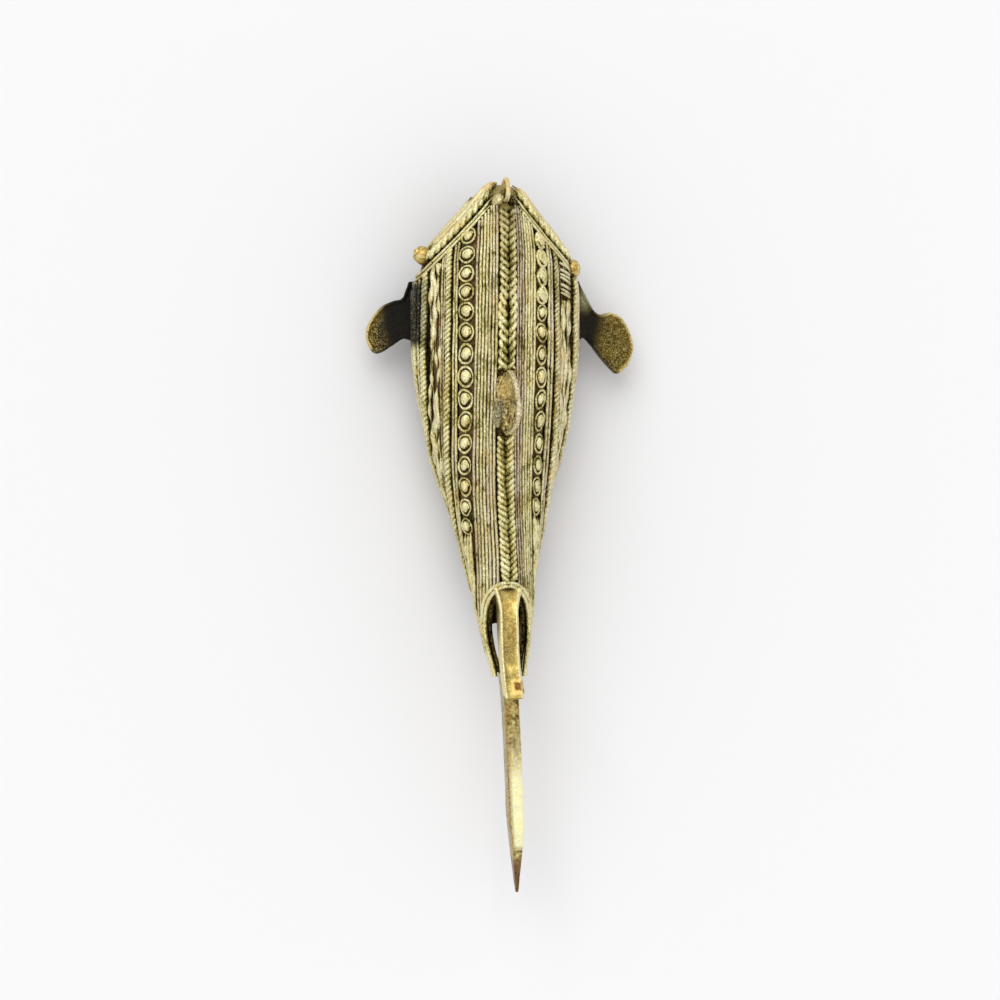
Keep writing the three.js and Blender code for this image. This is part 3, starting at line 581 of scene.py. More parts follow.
def readPoints(thing):
    flat = np.empty(3 * len(thing.data.vertices), np.float32)
    thing.data.vertices.foreach_get("co", flat)
    return fromFrame(flat.reshape(-1, 3))


def writePoints(thing, points):
    thing.data.vertices.foreach_set("co", toFrame(points).astype(np.float32).ravel())
    thing.data.update()


def setAttribute(mesh, name, values):
    # one number for all points or one for each, or a direction for each
    values = np.asarray(values, np.float32)
    kind, key = ("FLOAT_VECTOR", "vector") if values.ndim == 2 else ("FLOAT", "value")
    shape = (len(mesh.vertices), 3)[:max(1, values.ndim)]
    mesh.attributes.new(name, kind, "POINT").data.foreach_set(key, np.broadcast_to(values, shape).ravel())


def settle(thing):
    # the evaluated object as a plain mesh, with its modifiers gone
    bpy.context.view_layer.update()
    graph = bpy.context.evaluated_depsgraph_get()
    mesh = bpy.data.meshes.new_from_object(
        thing.evaluated_get(graph), preserve_all_data_layers=True, depsgraph=graph,
    )
    old = thing.data
    thing.modifiers.clear()
    thing.data = mesh
    bpy.data.meshes.remove(old)
    return thing


def perMillimetre(size):
    # a noise scale whose features measure `size` millimetres
    return 1000 / size


def grow(thing, tree, look, **more):
    # runs a tree on a thing, its inputs set from a look in millimetres, and leaves the plain mesh
    modifier = thing.modifiers.new(tree.name, "NODES")
    modifier.node_group = tree
    values = {"wall": wallSkin, **look, **more}
    for item in tree.interface.items_tree:
        if item.item_type != "SOCKET" or item.in_out != "INPUT" or item.name not in values:
            continue
        value = values[item.name]
        if item.description == "Length":
            value = value / 1000
        elif item.description == "Size":
            value = perMillimetre(value)
        modifier[item.identifier] = float(value) if item.socket_type == "NodeSocketFloat" else value
    return settle(thing)


def linesObject(name, lines, frameUnits=True):
    # guide lines as edges, each point with its way up and out and its own numbers
    usual = {"swell": 1.0, "stretch": 1.0, "turn": 0.0, "tint": 0.0, "sootAndShade": 0.0}
    points, ups, outs, edges = [], [], [], []
    numbers = {key: [] for key in usual}
    for line in lines:
        start, count = len(points), len(line["points"])
        points.extend(toFrame(line["points"]) if frameUnits else np.asarray(line["points"]) / 1000)
        ups.extend(line.get("up", np.tile((0.0, 0.0, 1.0), (count, 1))))
        outs.extend(line.get("out", np.tile((1.0, 0.0, 0.0), (count, 1))))
        for key, values in numbers.items():
            values.extend(np.broadcast_to(line.get(key, usual[key]), (count,)))
        if not line.get("loose"):
            edges.extend((start + i, start + i + 1) for i in range(count - 1))
        if line.get("closed"):
            edges.append((start + count - 1, start))
    mesh = meshOf(name, points, edges=edges)
    for key, values in {"up": ups, "out": outs, **numbers}.items():
        setAttribute(mesh, key, values)
    return newObject(name, mesh)


def keep(piece, node):
    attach(piece, "root")
    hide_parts(node)


def lay(name, node, lines, tree, look, slot="laid_brass", **more):
    # a piece of laid work, grown from its guide lines
    keep(grow(linesObject(name, lines), tree, look, **more), node)


def addBall(thing, at, radii, place, columns, rows):
    # a squashed ball added to a mesh, its millimetres turned into the mesh's own places by `place`
    shape = bmesh.new()
    shape.from_mesh(thing.data)
    ball = bmesh.ops.create_uvsphere(shape, u_segments=columns, v_segments=rows, radius=1.0)
    for vert in ball["verts"]:
        vert.co = place(np.array(vert.co) * radii + at)
    shape.to_mesh(thing.data)
    shape.free()


# Colours and finishes
def linear(hexColour):
    # sRGB hex to the linear values that a socket takes
    channels = [int(hexColour[i:i + 2], 16) / 255 for i in (0, 2, 4)]
    return tuple(c / 12.92 if c <= 0.04045 else ((c + 0.055) / 1.055) ** 2.4 for c in channels) + (1.0,)


def brassFinish(name, look):
    # cast brass, handled for years: dark in its grooves with patina and painted shade, bright on its crests
    # where rubbed and with a painted highlight
    material = bpy.data.materials.new(name)
    material.use_nodes = True
    tree = material.node_tree
    shader = tree.nodes["Principled BSDF"]
    place = addNode(tree, "ShaderNodeTexCoord", take="Object")
    drawn = addNode(tree, "ShaderNodeVectorMath", {0: place, 1: look["streak"]}, operation="MULTIPLY")
    marks = {
        key: addNode(tree, "ShaderNodeAttribute", take="Fac", attribute_name=key)
        for key in ("relief", "tint", "earth", *(wearAndLight[0] for wearAndLight in look["wearAndLight"]))
    }
    noise = {
        key: addNode(tree, "ShaderNodeMapRange", {
            "Value": addNode(tree, "ShaderNodeTexNoise", {
                "Vector": drawn if key == "streak" else place, "Scale": perMillimetre(look[key + "Size"]),
                "Detail": 3.0, "Roughness": 0.68,
            }),
            "From Min": 0.32, "From Max": 0.68, "To Min": -0.5, "To Max": 0.5,
        })
        for key in ("grain", "streak", "patch", "blotch")
    }
    # a crest is brighter where it was rubbed and with a painted highlight, a groove darker with patina and
    # painted shade, which grain, drawn streaks and patches break up
    level = marks["relief"]
    for key in ("grain", "streak", "patch"):
        level = addNode(tree, "ShaderNodeMath", {
            0: noise[key], 1: look[key + "Share"], 2: level,
        }, operation="MULTIPLY_ADD")
    colour = addNode(tree, "ShaderNodeValToRGB", {"Fac": level})
    stops = colour.node.color_ramp.elements
    while len(stops) < len(look["ramp"]):
        stops.new(0.5)
    for stop, (spot, shade) in zip(stops, look["ramp"]):
        stop.position = spot
        stop.color = linear(shade)
    speck = addNode(tree, "ShaderNodeMath", {0: noise["grain"], 1: 0.5}, operation="ADD")
    earthly = addNode(tree, "ShaderNodeMath", {
        0: marks["earth"], 1: addNode(tree, "ShaderNodeMath", {
            0: noise["blotch"], 1: 1.5, 2: 0.9,
        }, operation="MULTIPLY_ADD", use_clamp=True),
    }, operation="MULTIPLY")
    layers = [
        (addNode(tree, "ShaderNodeMapRange", {
            "Value": noise["blotch"], "From Min": -0.1, "From Max": 0.4, "To Max": look["goldShare"],
        }), linear(look["gold"]), "MULTIPLY"),
        (addNode(tree, "ShaderNodeMapRange", {
            "Value": noise["patch"], "From Min": 0.0, "From Max": 0.4, "To Max": look["dullShare"],
        }), linear(look["dull"]), "MULTIPLY"),
        (marks["tint"], linear(look["grey"]), "MULTIPLY"),
        (earthly, addNode(tree, "ShaderNodeMix", {
            "Factor": speck, "A": linear("3f2614"), "B": linear("8a5d30"),
        }, data_type="RGBA"), "MIX"),
    ]
    matt = earthly
    # layers over the ramp: wear and stains, and painted light and shade on some of them
    for key, dark, light, broken in look["wearAndLight"]:
        wornAndLit = addNode(tree, "ShaderNodeMath", {
            0: noise["grain"], 1: broken, 2: marks[key],
        }, operation="MULTIPLY_ADD", use_clamp=True)
        over = addNode(tree, "ShaderNodeMix", {
            "Factor": speck, "A": linear(dark), "B": linear(light),
        }, data_type="RGBA")
        layers.append((wornAndLit, over, "MIX"))
        if key == "sootAndShade":
            matt = addNode(tree, "ShaderNodeMath", {
                0: wornAndLit, 1: look["sootAndShadeMatt"], 2: matt,
            }, operation="MULTIPLY_ADD")
    for share, over, mode in layers:
        colour = addNode(tree, "ShaderNodeMix", {
            "Factor": share, "A": colour, "B": over,
        }, data_type="RGBA", blend_type=mode)
    bright = addNode(tree, "ShaderNodeMapRange", {
        "Value": level, "From Max": 0.5, "To Min": look["grooveMetal"],
    })
    metal = addNode(tree, "ShaderNodeMath", {0: bright, 1: matt}, operation="SUBTRACT", use_clamp=True)
    smooth = addNode(tree, "ShaderNodeMapRange", {
        "Value": level, "From Min": 0.1, "From Max": 0.9, "To Min": look["roughness"][0],
        "To Max": look["roughness"][1],
    })
    roughness = addNode(tree, "ShaderNodeMath", {
        0: noise["blotch"], 1: look["roughSpread"], 2: smooth,
    }, operation="MULTIPLY_ADD", use_clamp=True)
    bump = addNode(tree, "ShaderNodeBump", {
        "Height": speck, "Strength": look["bump"], "Distance": look["bumpDepth"] / 1000,
    })
    surface = {"Base Color": colour, "Metallic": metal, "Roughness": roughness, "Normal": bump}
    for key, socket in surface.items():
        tree.links.new(socket, shader.inputs[key])
    return material


brassLook = {
    # the ramp runs from patina with painted shade in the grooves to rubbed metal with a painted highlight on
    # the crests
    "ramp": ((0.0, "231d06"), (0.22, "524817"), (0.45, "8c8242"), (0.72, "cdc482"), (1.0, "fff8c8")),
    "grainSize": 0.42,  # real casting sand is finer, this coarse so that it shows
    "grainShare": 0.42,
    "streak": (3.2, 1.0, 3.2),
    "streakSize": 1.0,  # drawn coarser than the rolled wax's own streaks so that they show
    "streakShare": 0.6,
    "blotchSize": 6,
    "patchSize": 5,
    "patchShare": 0.45,
    "gold": "f2cf7c",
    "goldShare": 0.32,
    "dull": "b9b594",
    "dullShare": 0.3,
    "grey": "e4d9ff",  # takes the yellow out
    "wearAndLight": (("sootAndShade", "0a0b0c", "2b2921", 0.8),),
    "sootAndShadeMatt": 0.2,
    "grooveMetal": 0.95,
    "roughness": (0.62, 0.28),
    "roughSpread": 0.2,
    "bump": 0.5,
    "bumpDepth": 0.3,
}
laidBrass = brassFinish("laidBrass", brassLook)  # olive gold, dark between the threads
darkCastBrass = brassFinish("darkCastBrass", {  # brown-black skin left as cast
    **brassLook,
    "wearAndLight": (("sootAndShade", "0a0b0a", "3a3628", 0.6), ("lit", "7a6a36", "c9b873", 0.8)),
    "ramp": ((0.0, "120d07"), (0.4, "2f2410"), (0.7, "5c4d26"), (1.0, "8a7840")),
    "roughness": (0.75, 0.5),
    "grainSize": 0.5,
})
goldenBrass = brassFinish("goldenBrass", {  # cords rubbed to a warm gold with long streaks
    **brassLook,
    "ramp": ((0.0, "3a2e10"), (0.25, "83733a"), (0.5, "c4b578"), (1.0, "fff3c0")),
    "gold": "f0ba60",
    "goldShare": 0.45,
    "roughness": (0.5, 0.26),
})
eyeBrass = brassFinish("eyeBrass", {  # smooth bright yellow of the eyes
    **brassLook,
    "ramp": ((0.0, "84692a"), (0.4, "c6a95c"), (0.7, "ead08a"), (1.0, "fff1ba")),
    "goldShare": 0.0,
    "grainShare": 0.2,
    "streakShare": 0.1,
    "roughness": (0.45, 0.25),
    "bump": 0.2,
})
crestBrass = brassFinish("crestBrass", {  # the dorsal fin: pale worn edge, golden flank, grey-green spill
    **brassLook,
    "wearAndLight": (
        ("gilt", "9c7a2c", "f0cf78", 0.9), ("dull", "55533c", "a19c7c", 1.0),
        ("crown", "b5a272", "f9edcb", 0.8),
    ),
    "ramp": ((0.0, "352a0e"), (0.3, "80703a"), (0.6, "b9a865"), (1.0, "fdf0b0")),
    "roughness": (0.5, 0.3),
    "grainSize": 0.5,
    "grainShare": 0.35,
    "streak": (2.6, 0.7, 1.6),
    "streakShare": 0.9,
    "patchSize": 2.6,
    "patchShare": 0.6,
})
satinBrass = brassFinish("satinBrass", {  # the rib's satin olive gold with pale edges, a left face painted pale as light falling on it, and a red-brown scale
    **brassLook,
    "wearAndLight": (
        ("pale", "cdbf86", "fbf2c4", 0.5), ("scale", "5a3a1e", "7d5528", 0.2),
        ("glow", "e0bc62", "f5dc92", 0.3),
    ),
    "ramp": ((0.0, "776633"), (0.4, "927f42"), (0.7, "a9944e"), (1.0, "d2bd76")),
    "roughness": (0.5, 0.36),
    "grainShare": 0.1,
    "streakShare": 0.16,
    "patchShare": 0.2,
    "bump": 0.04,
})
rubbedBrass = brassFinish("rubbedBrass", {  # the lower lobe, polished almost white where hands held it, with a painted highlight over the polish
    **brassLook,
    "wearAndLight": (
        ("rough", "6a5424", "d0b468", 0.6), ("pale", "f6eda0", "fffee0", 0.12),
        ("sootAndShade", "3a2418", "8c6440", 0.5),
    ),
    "sootAndShadeMatt": 0.2,
    "ramp": ((0.0, "4c3d18"), (0.35, "8d7a40"), (0.65, "b8a565"), (1.0, "efe3a8")),
    "roughness": (0.42, 0.2),
    "grainSize": 0.8,
    "grainShare": 0.45,
    "streakShare": 0.3,
    "dullShare": 0.25,
    "bump": 0.2,
})

# Sooty brass of the fins: near black at the root with soot and painted shade, olive and amber on the blade,
# golden on the rim with a painted highlight
finBrass = {
    **brassLook,
    "wearAndLight": (
        # the rim's near-white end is a painted highlight over rubbed gold
        ("amber", "5e4510", "866a1c", 0.5), ("rim", "b08428", "fff4b0", 1.1),
        ("lit", "6e6844", "aaa582", 0.6),
        ("sootAndShade", "08090d", "201f19", 0.8),
    ),
    "sootAndShadeMatt": 0.1,
    "grainSize": 0.4,
    "grainShare": 0.3,
    "streakShare": 0.15,
    "roughness": (0.5, 0.3),
    "bump": 0.35,
}
sootyShadedBrass = brassFinish("sootyShadedBrass", {  # the left fin, darker
    **finBrass, "ramp": ((0.0, "140f06"), (0.4, "241c0a"), (0.7, "3c2f10"), (1.0, "7a6026")),
})
amberBrass = brassFinish("amberBrass", {  # the right fin, browner and sandy
    **finBrass, "ramp": ((0.0, "2c240a"), (0.35, "463b10"), (0.7, "615318"), (1.0, "93803a")),
})

# Fired clay of the casting core: matt, brown, with coarse grit
clayLook = {"grit": 0.7, "lump": 3.0}
coreClay = bpy.data.materials.new("coreClay")
coreClay.use_nodes = True
clayTree = coreClay.node_tree
clayPlace = addNode(clayTree, "ShaderNodeTexCoord", take="Object")
clayGrit, clayLumps = (addNode(clayTree, "ShaderNodeTexNoise", {
    "Vector": clayPlace, "Scale": perMillimetre(clayLook[key]), "Detail": 4.0, "Roughness": 0.7,
}) for key in ("grit", "lump"))
clayBase = addNode(clayTree, "ShaderNodeMix", {
    "Factor": clayLumps, "A": linear("2f2118"), "B": linear("6d4a33"),
}, data_type="RGBA")
clayMix = addNode(clayTree, "ShaderNodeMix", {
    "Factor": clayGrit, "A": clayBase, "B": linear("8c6a50"),
}, data_type="RGBA", blend_type="OVERLAY")
clayBump = addNode(clayTree, "ShaderNodeBump", {
    "Height": clayGrit, "Strength": 0.8, "Distance": clayLook["grit"] / 1000,
})
clayShader = clayTree.nodes["Principled BSDF"]
clayShader.inputs["Roughness"].default_value = 0.95
clayTree.links.new(clayMix, clayShader.inputs["Base Color"])
clayTree.links.new(clayBump, clayShader.inputs["Normal"])
print("finishes made")


# Cast wall, hollow, with its two openings
shellLook = {
    "finish": darkCastBrass,
    "ringStep": 1.6,
    "headFromY": 46,  # closer rings from here on, so that the snout is round
    "headRings": 16,
    "innerRings": 60,
    "upperCount": 34,
    "lowerCount": 22,
    "cutterReach": 16,
    "lit": ((46.5, 2), (19, 3)),  # the snout is rubbed bright and painted lit ahead of this y and above this z
    "grainSize": 0.9,
    "grainDepth": 0.05,
    "lumpSize": 7,
    "lumpDepth": 0.22,
}


def wallLoft(name, places, insetAt):
    rings = []
    for y in places:
        points = sectionAt(y, insetAt(y))[0]
        half = points[np.unique(np.round(np.concatenate([
            np.linspace(0, flankCount - 1, shellLook["upperCount"]),
            np.linspace(flankCount - 1, len(points) - 1, shellLook["lowerCount"]),
        ])).astype(int))]
        half[0, 0] = 0
        middle = float(centreX(y))
        rings.append([(middle + x, y, z) for x, z in half] + [(middle - x, y, z) for x, z in half[:0:-1]])
    return loftMesh(name, rings)


def sideCutter(name, cut):
    line = cutLine(cut, count=40)
    far = cut["line"][0][1] + cut["beyond"]
    outline = [tuple(p) for p in line] + [(line[-1][0], far), (line[0][0], far)]
    return slab(name, outline, 2 * shellLook["cutterReach"], lambda y, z, x: (x, y, z))


def cutAway(thing, cutters):
    for cutter in cutters:
        modifier = thing.modifiers.new("cut", "BOOLEAN")
        modifier.operation = "DIFFERENCE"
        modifier.solver = "EXACT"
        modifier.object = cutter
    settle(thing)
    for cutter in cutters:
        bpy.data.objects.remove(cutter)
    return thing


def thicknessAt(y):
    fromY, toY = topCutMid[0], wallLook["restBackY"]
    share = np.clip((y - fromY) / (toY - fromY), 0, 1)
    return wallLook["sleeveThickness"] + share * (wallLook["thickness"] - wallLook["sleeveThickness"])


outerPlaces = np.concatenate([
    np.arange(sleeveEndY, shellLook["headFromY"], shellLook["ringStep"]),
    np.linspace(shellLook["headFromY"], snoutY, shellLook["headRings"]),
])
innerPlaces = np.linspace(
    sleeveEndY - 1, wallLook["muzzleY"] - wallLook["thickness"], shellLook["innerRings"],
)
wallSkin = wallLoft("wallSkin", outerPlaces, lambda y: 0.0)
bodyShell = wallLoft("bodyShell", outerPlaces, lambda y: 0.0)
cutAway(bodyShell, [
    wallLoft("cavity", innerPlaces, thicknessAt),
    sideCutter("topCutter", topCut),
    sideCutter("bottomCutter", bottomCut),
])
points = readPoints(bodyShell)
ahead, above = (
    np.clip((points[:, axis] - start) / fade, 0, 1) for axis, (start, fade) in zip((1, 2), shellLook["lit"])
)
setAttribute(bodyShell.data, "lit", ahead * above)
keep(grow(bodyShell, castTree, shellLook, seed=1), "body_shell")
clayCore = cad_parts["clay_core"]
clayCore.data.materials.clear()
clayCore.data.materials.append(coreClay)
print("wall made")


# Solid castings: a rough shape made even by a voxel remesh, smoothed, and given its sand
def remeshed(thing, voxel, smoothing):
    remesh = thing.modifiers.new("even", "REMESH")
    remesh.mode = "VOXEL"
    remesh.voxel_size = voxel / 1000
    smooth = thing.modifiers.new("round", "SMOOTH")
    smooth.factor = 0.5
    smooth.iterations = smoothing
    return settle(thing)


def turnedAbout(name, profile, side, y, arc, lift, segments=40):
    # a profile of (radius, height) turned about the wall's own direction at a place
    normal = wallNormal(side, y, arc)
    ahead = np.array((0.0, 1.0, 0.0)) - normal * normal[1]
    ahead /= np.linalg.norm(ahead)
    cross = np.cross(ahead, normal)
    foot = skinPoint(side, y, arc, lift)
    angles = np.linspace(0, 2 * math.pi, segments, endpoint=False)
    rings = [
        [foot + radius * (math.cos(a) * ahead + math.sin(a) * cross) + height * normal for a in angles]
        for radius, height in profile
    ]
    return loftMesh(name, rings)


# Laid work. Laid by hand, the bands drift from their even places, and most of all behind the head
sides = (("left", "Left", -1), ("right", "Right", 1))
bandEdges = (
    0, backArc, coilArc, shoulderThreadArc, shoulderPlaitArc, flankThreadArc, scrollArc, sidePlaitArc,
    sideThreadArc, laidEndArc,
)
bandPulls = {
    -1: {
        "front": (0, 0.5, 1.3, 2.0, 2.5, 3.1, 3.7, 5.1, 4.2, 0),
        "rear": (0, 0.3, 0.3, 1.0, 1.0, 1.2, 1.9, 2.2, 0.6, 0),
    },
    1: {
        "front": (0, 0.3, 0.6, 1.9, 2.0, 3.2, 5.0, 3.4, 1.4, 0),
        "rear": (0, 0.3, 0.8, 2.0, 1.1, 0.8, 2.1, 4.2, 3.6, 0),
    },
}
pullSpan = (40.0, -28.0)
# the spine's plait and the threads beside it wander to the right (+) and left of the middle
spineDrift = (
    (-45, 0.5), (-38, 0.6), (-30, 0.45), (-16, 0), (-7, -0.3), (5, -0.1), (18, 0.2), (30, 0.5), (48, 0.55),
)
driftReach = 12


def realArc(side, arc, y):
    pulls = bandPulls[side]
    share = np.clip((y - pullSpan[1]) / (pullSpan[0] - pullSpan[1]), 0, 1)
    front, rear = (np.interp(arc, bandEdges, pulls[end]) for end in ("front", "rear"))
    drifted = side * np.interp(y, *zip(*spineDrift)) * np.clip(1 - np.asarray(arc) / driftReach, 0, 1)
    return arc + drifted - share * front - (1 - share) * rear


def wavering(seed, amount, sizes=(3.1, 7.3, 1.3)):
    # hand-rolled wax is never quite even
    phases = np.random.default_rng(abs(seed)).uniform(0, 2 * math.pi, len(sizes))
    return lambda y: amount * sum(
        np.sin(np.asarray(y) / size + phase) for size, phase in zip(sizes, phases)
    )


def tapered(points, length, least):
    # thinner towards both ends
    away = walked(points)
    return np.clip(np.minimum(away, away[-1] - away) / length, least, 1)


sootAndShadeLook = {"y": 23.3, "reach": 7.4, "height": 20.0, "fade": 3.2}


def sootAndShadeNearFin(points):
    # soot and painted shade from the left fin's root cover the laid work beside it, darker lower down
    points = np.asarray(points)
    near = 1.25 - np.abs(points[:, 1] - sootAndShadeLook["y"]) / sootAndShadeLook["reach"]
    low = (sootAndShadeLook["height"] + sootAndShadeLook["fade"] - points[:, 2]) / sootAndShadeLook["fade"]
    return np.clip(np.minimum(near * 3, low), 0, 1) * (points[:, 0] < 0)


# the outer edge of the rim round the tail's top opening, as the way round at each y
rimFollow = {"slide": 1.5, "least": 0.45, "skim": 0.02, "count": 90}
rimCut = cutLine(topCut, laid["rimWidth"] + laid["sideGap"], rimFollow["count"])
rimCut = rimCut[rimCut[:, 1] < stationAt("back", rimCut[:, 0]) - rimFollow["skim"]][::-1]
rimYs = rimCut[:, 0]


def arcAtHeight(y, z):
    # the way round from the spine to where the wall is `z` high
    points, arcs = sectionAt(y)
    return float(np.interp(-z, -points[:flankCount, 1], arcs[:flankCount]))


rimArcs = np.array([arcAtHeight(y, z) for y, z in rimCut])


def laidLine(side, arc, lift, front=None, rear=None, spacing=0.7, upright=0.0, stray=0.0, seed=0):
    # a guide line over the wall, with its way up and out at each point
    if front is None:
        front = float(frontY(realArc(side, arc, pullSpan[0])))
        if arc < nostrilArc + nostrilLook["radius"]:
            front = min(front, nostrilLook["y"] - nostrilLook["radius"] - sideGap)
    rear = rearY(arc) if rear is None else rear
    y = np.linspace(front, rear, max(4, int(round((front - rear) / spacing)) + 1))
    arcs = realArc(side, arc, y) + wavering(seed + 3, stray, (9, 4.3, 1.9))(y)
    up = unit(wallNormal(side, y, arcs) * (1 - upright) + np.array((0, 0, upright)))
    points = wallPoint(side, y, arcs) + up * (lift + wavering(seed + 5, 0.5 * stray)(y))[:, None]
    # where it would run into the opening it bends along the rim, thins and ends
    away = np.interp(y, rimYs, rimArcs, right=0) - arcs
    if (away > 0).any():
        gone = away > rimFollow["slide"]
        last = max(3, int(np.argmax(gone))) if gone.any() else len(y)
        y, arcs, away, up = y[:last], arcs[:last], away[:last], up[:last]
        points = wallPoint(side, y, arcs + np.maximum(away, 0)) + up * lift
    else:
        away = np.full(len(y), -1.0)
    out = unit(np.cross(up, np.gradient(points, axis=0)) * -side)
    thin = 1 - (1 - rimFollow["least"]) * np.clip(away / rimFollow["slide"], 0, 1)
    return {"points": points, "up": up, "out": out, "y": y, "thin": thin}


threadLook = {
    "finish": laidBrass,
    "radius": 0.47,
    "sides": 8,
    "wander": 0.25,
    "wanderSize": 12,
    "lift": 0.46,
    "groove": 0.5,
    "crest": 1.25,
    "stray": 0.045,
    "uneven": 0.03,
    "nickDepth": 0.5,
    "nickLength": 0.45,
    "greyRight": 0.8,
    "greyLeft": 0.6,
    "dullThreads": 3,  # the right side's inner threads are thin and purplish
    "dullSwell": 0.86,
    "squeezed": 0.7,
    "wide": 1.05,
    "widest": {14: 1.9},  # the lowest threads are pressed out broad
}


def threadLine(side, arc, seed):
    # one thread: squeezed where its band is, uneven, with a nick where two lengths of wax meet
    line = laidLine(side, arc, laid["seatGap"] + threadLook["lift"], stray=threadLook["stray"], seed=seed)
    y = line["y"]
    room = realArc(side, arc + 0.5 * threadPitch, y) - realArc(side, arc - 0.5 * threadPitch, y)
    dice = np.random.default_rng(seed + 50)
    nicks = dice.uniform(y[-1], y[0], 2)
    dips = sum(np.exp(-(((y - nick) / threadLook["nickLength"]) ** 2)) for nick in nicks)
    widest = threadLook["widest"].get(seed // 100, threadLook["wide"])
    swell = np.clip(room / threadPitch, threadLook["squeezed"], widest)
    swell = swell * (1 + wavering(seed, threadLook["uneven"])(y))
    line["swell"] = swell * line["thin"] * (1 - threadLook["nickDepth"] * np.clip(dips, 0, 1))
    grey = dice.uniform(0, 1) ** 1.5 * threadLook["greyRight" if side > 0 else "greyLeft"]
    line["tint"] = np.clip(grey + wavering(seed + 9, 0.14, (8, 15, 4))(y), 0, 1)
    if side > 0 and arc < backArc + threadLook["dullThreads"] * threadPitch:
        line["tint"], line["swell"] = 0.9, line["swell"] * threadLook["dullSwell"]
    line["sootAndShade"] = sootAndShadeNearFin(line["points"])
    return line


def layThreads(name, node, startArc, count, seed):
    for sideNode, sideName, side in sides:
        lines = [
            threadLine(side, startArc + (i + 0.5) * threadPitch, 100 * seed + 10 * i + side)
            for i in range(count)
        ]
        lay(name + sideName, f"{node}_{sideNode}", lines, wireTree, threadLook, seed=seed)


layThreads("backThreads", "back_threads", backArc, laid["backThreads"], 11)
layThreads("shoulderThreads", "shoulder_threads", shoulderThreadArc, laid["pairThreads"], 12)
layThreads("flankThreads", "flank_threads", flankThreadArc, laid["pairThreads"], 13)
layThreads("sideThreads", "side_threads", sideThreadArc, laid["sideThreads"], 14)
print("threads laid")

plaitLook = {
    "finish": laidBrass,
    "spacing": 0.24,
    "stray": 0.05,
    "squeezed": 0.42,
    "uneven": 0.04,
    "tintRight": 0.3,
    "strand": 0.6,
    "spread": 0.6,
    "rise": 0.28,
    "lift": 0.85,
    "sides": 9,
    "wander": 0.25,
    "wanderSize": 10,
    "groove": 0.6,
    "crest": 1.9,
}


def turning(line, lobes):
    # the turn of the pair along its line: half a turn for each lobe, whose length `lobes` gives by y
    steps = np.linalg.norm(np.diff(line["points"], axis=0), axis=1)
    lengths = np.interp(line["y"][:-1], [y for y, _ in lobes], [length for _, length in lobes])
    return np.concatenate([[0], np.cumsum(math.pi * steps / lengths)])


# Spine plait: two pairs that touch on the ridge and gape a little over the shoulders
spineLook = {
    "arc": 1.06,
    "lift": 1.0,
    "upright": 0.6,
    "strand": 0.62,
    "spread": 0.64,
    "lobes": ((-45, 1.5), (5, 1.55), (14, 2.25), (24, 2.4), (32, 1.8), (48, 1.8)),
    "gapeY": 23.2,
    "gapeLength": 3.6,
    "gape": 0.42,
    "dark": ((28, 0), (35, 0.12), (42, 0.2), (48, 0.4)),  # soot left behind the nose loop
    "frontY": 48.6,
    "dorsalFront": 8.8,
    "dorsalBack": -7.3,
    "dorsalGap": 0.3,
    "spacing": 0.22,
    "stray": 0.04,
    "uneven": (0.05, (1.9, 7.3, 0.9)),
}
spineSpans = (
    ("Front", "front", spineLook["frontY"], spineLook["dorsalFront"] + spineLook["dorsalGap"]),
    (
        "Rear", "rear", spineLook["dorsalBack"] - spineLook["dorsalGap"],
        wallLook["archY"] + laid["rimWidth"] + 2 * sideGap,
    ),
)
for spanName, spanNode, spanFront, spanRear in spineSpans:
    for sideNode, sideName, side in sides:
        line = laidLine(
            side, spineLook["arc"], spineLook["lift"], spanFront, spanRear, spineLook["spacing"],
            spineLook["upright"], spineLook["stray"], 21 + side,
        )
        away = (line["y"] - spineLook["gapeY"]) / spineLook["gapeLength"]
        line["points"][:, 0] += side * spineLook["gape"] * np.exp(-(away**2))
        line["swell"] = line["thin"] * (1 + wavering(20 + side, *spineLook["uneven"])(line["y"]))
        line["turn"] = turning(line, spineLook["lobes"])
        line["sootAndShade"] = np.interp(line["y"], *zip(*spineLook["dark"]))
        lay(
            f"spinePlait{spanName}{sideName}", f"spine_plait_{spanNode}_{sideNode}", [line], twistTree,
            {**plaitLook, **spineLook}, handedness=-1, seed=21,
        )

# The narrow plaits lower down, like pearls behind the head and longer towards the tail
flankPlaits = (
    ("shoulderPlait", "shoulder_plait", shoulderPlaitArc, ((-20, 1.5), (10, 1.25), (36, 1.15)), 31),
    ("sidePlait", "side_plait", sidePlaitArc, ((0, 1.3), (30, 1.2)), 32),
)
for name, node, startArc, lobes, seed in flankPlaits:
    for sideNode, sideName, side in sides:
        line = laidLine(
            side, startArc + plaitWidth / 2, laid["seatGap"] + plaitLook["lift"],
            spacing=plaitLook["spacing"], stray=plaitLook["stray"], seed=seed + side,
        )
        y = line["y"]
        room = realArc(side, startArc + plaitWidth, y) - realArc(side, startArc, y)
        even = line["thin"] * np.clip(room / plaitWidth, plaitLook["squeezed"], 1.0)
        line["swell"] = even * (1 + wavering(seed + side, plaitLook["uneven"])(y))
        line["turn"] = turning(line, lobes)
        line["tint"] = plaitLook["tintRight"] * (side > 0)
        line["sootAndShade"] = sootAndShadeNearFin(line["points"])
        lay(
            name + sideName, f"{node}_{sideNode}", [line], twistTree, plaitLook, handedness=-side,
            seed=seed,
        )
print("plaits laid")


# Ornaments of wound wire, made flat once and then set along their rows
def circleLine(radius, height, count=28):
    angles = np.linspace(0, 2 * math.pi, count, endpoint=False)
    points = np.stack([radius * np.cos(angles), radius * np.sin(angles), np.full(count, height)], axis=1)
    return {"points": points, "closed": True}


def wireOrnament(name, lines, radius):
    guide = linesObject(name, lines, frameUnits=False)
    return grow(guide, wireTree, {"radius": radius, "sides": 8, "wander": 0.0})


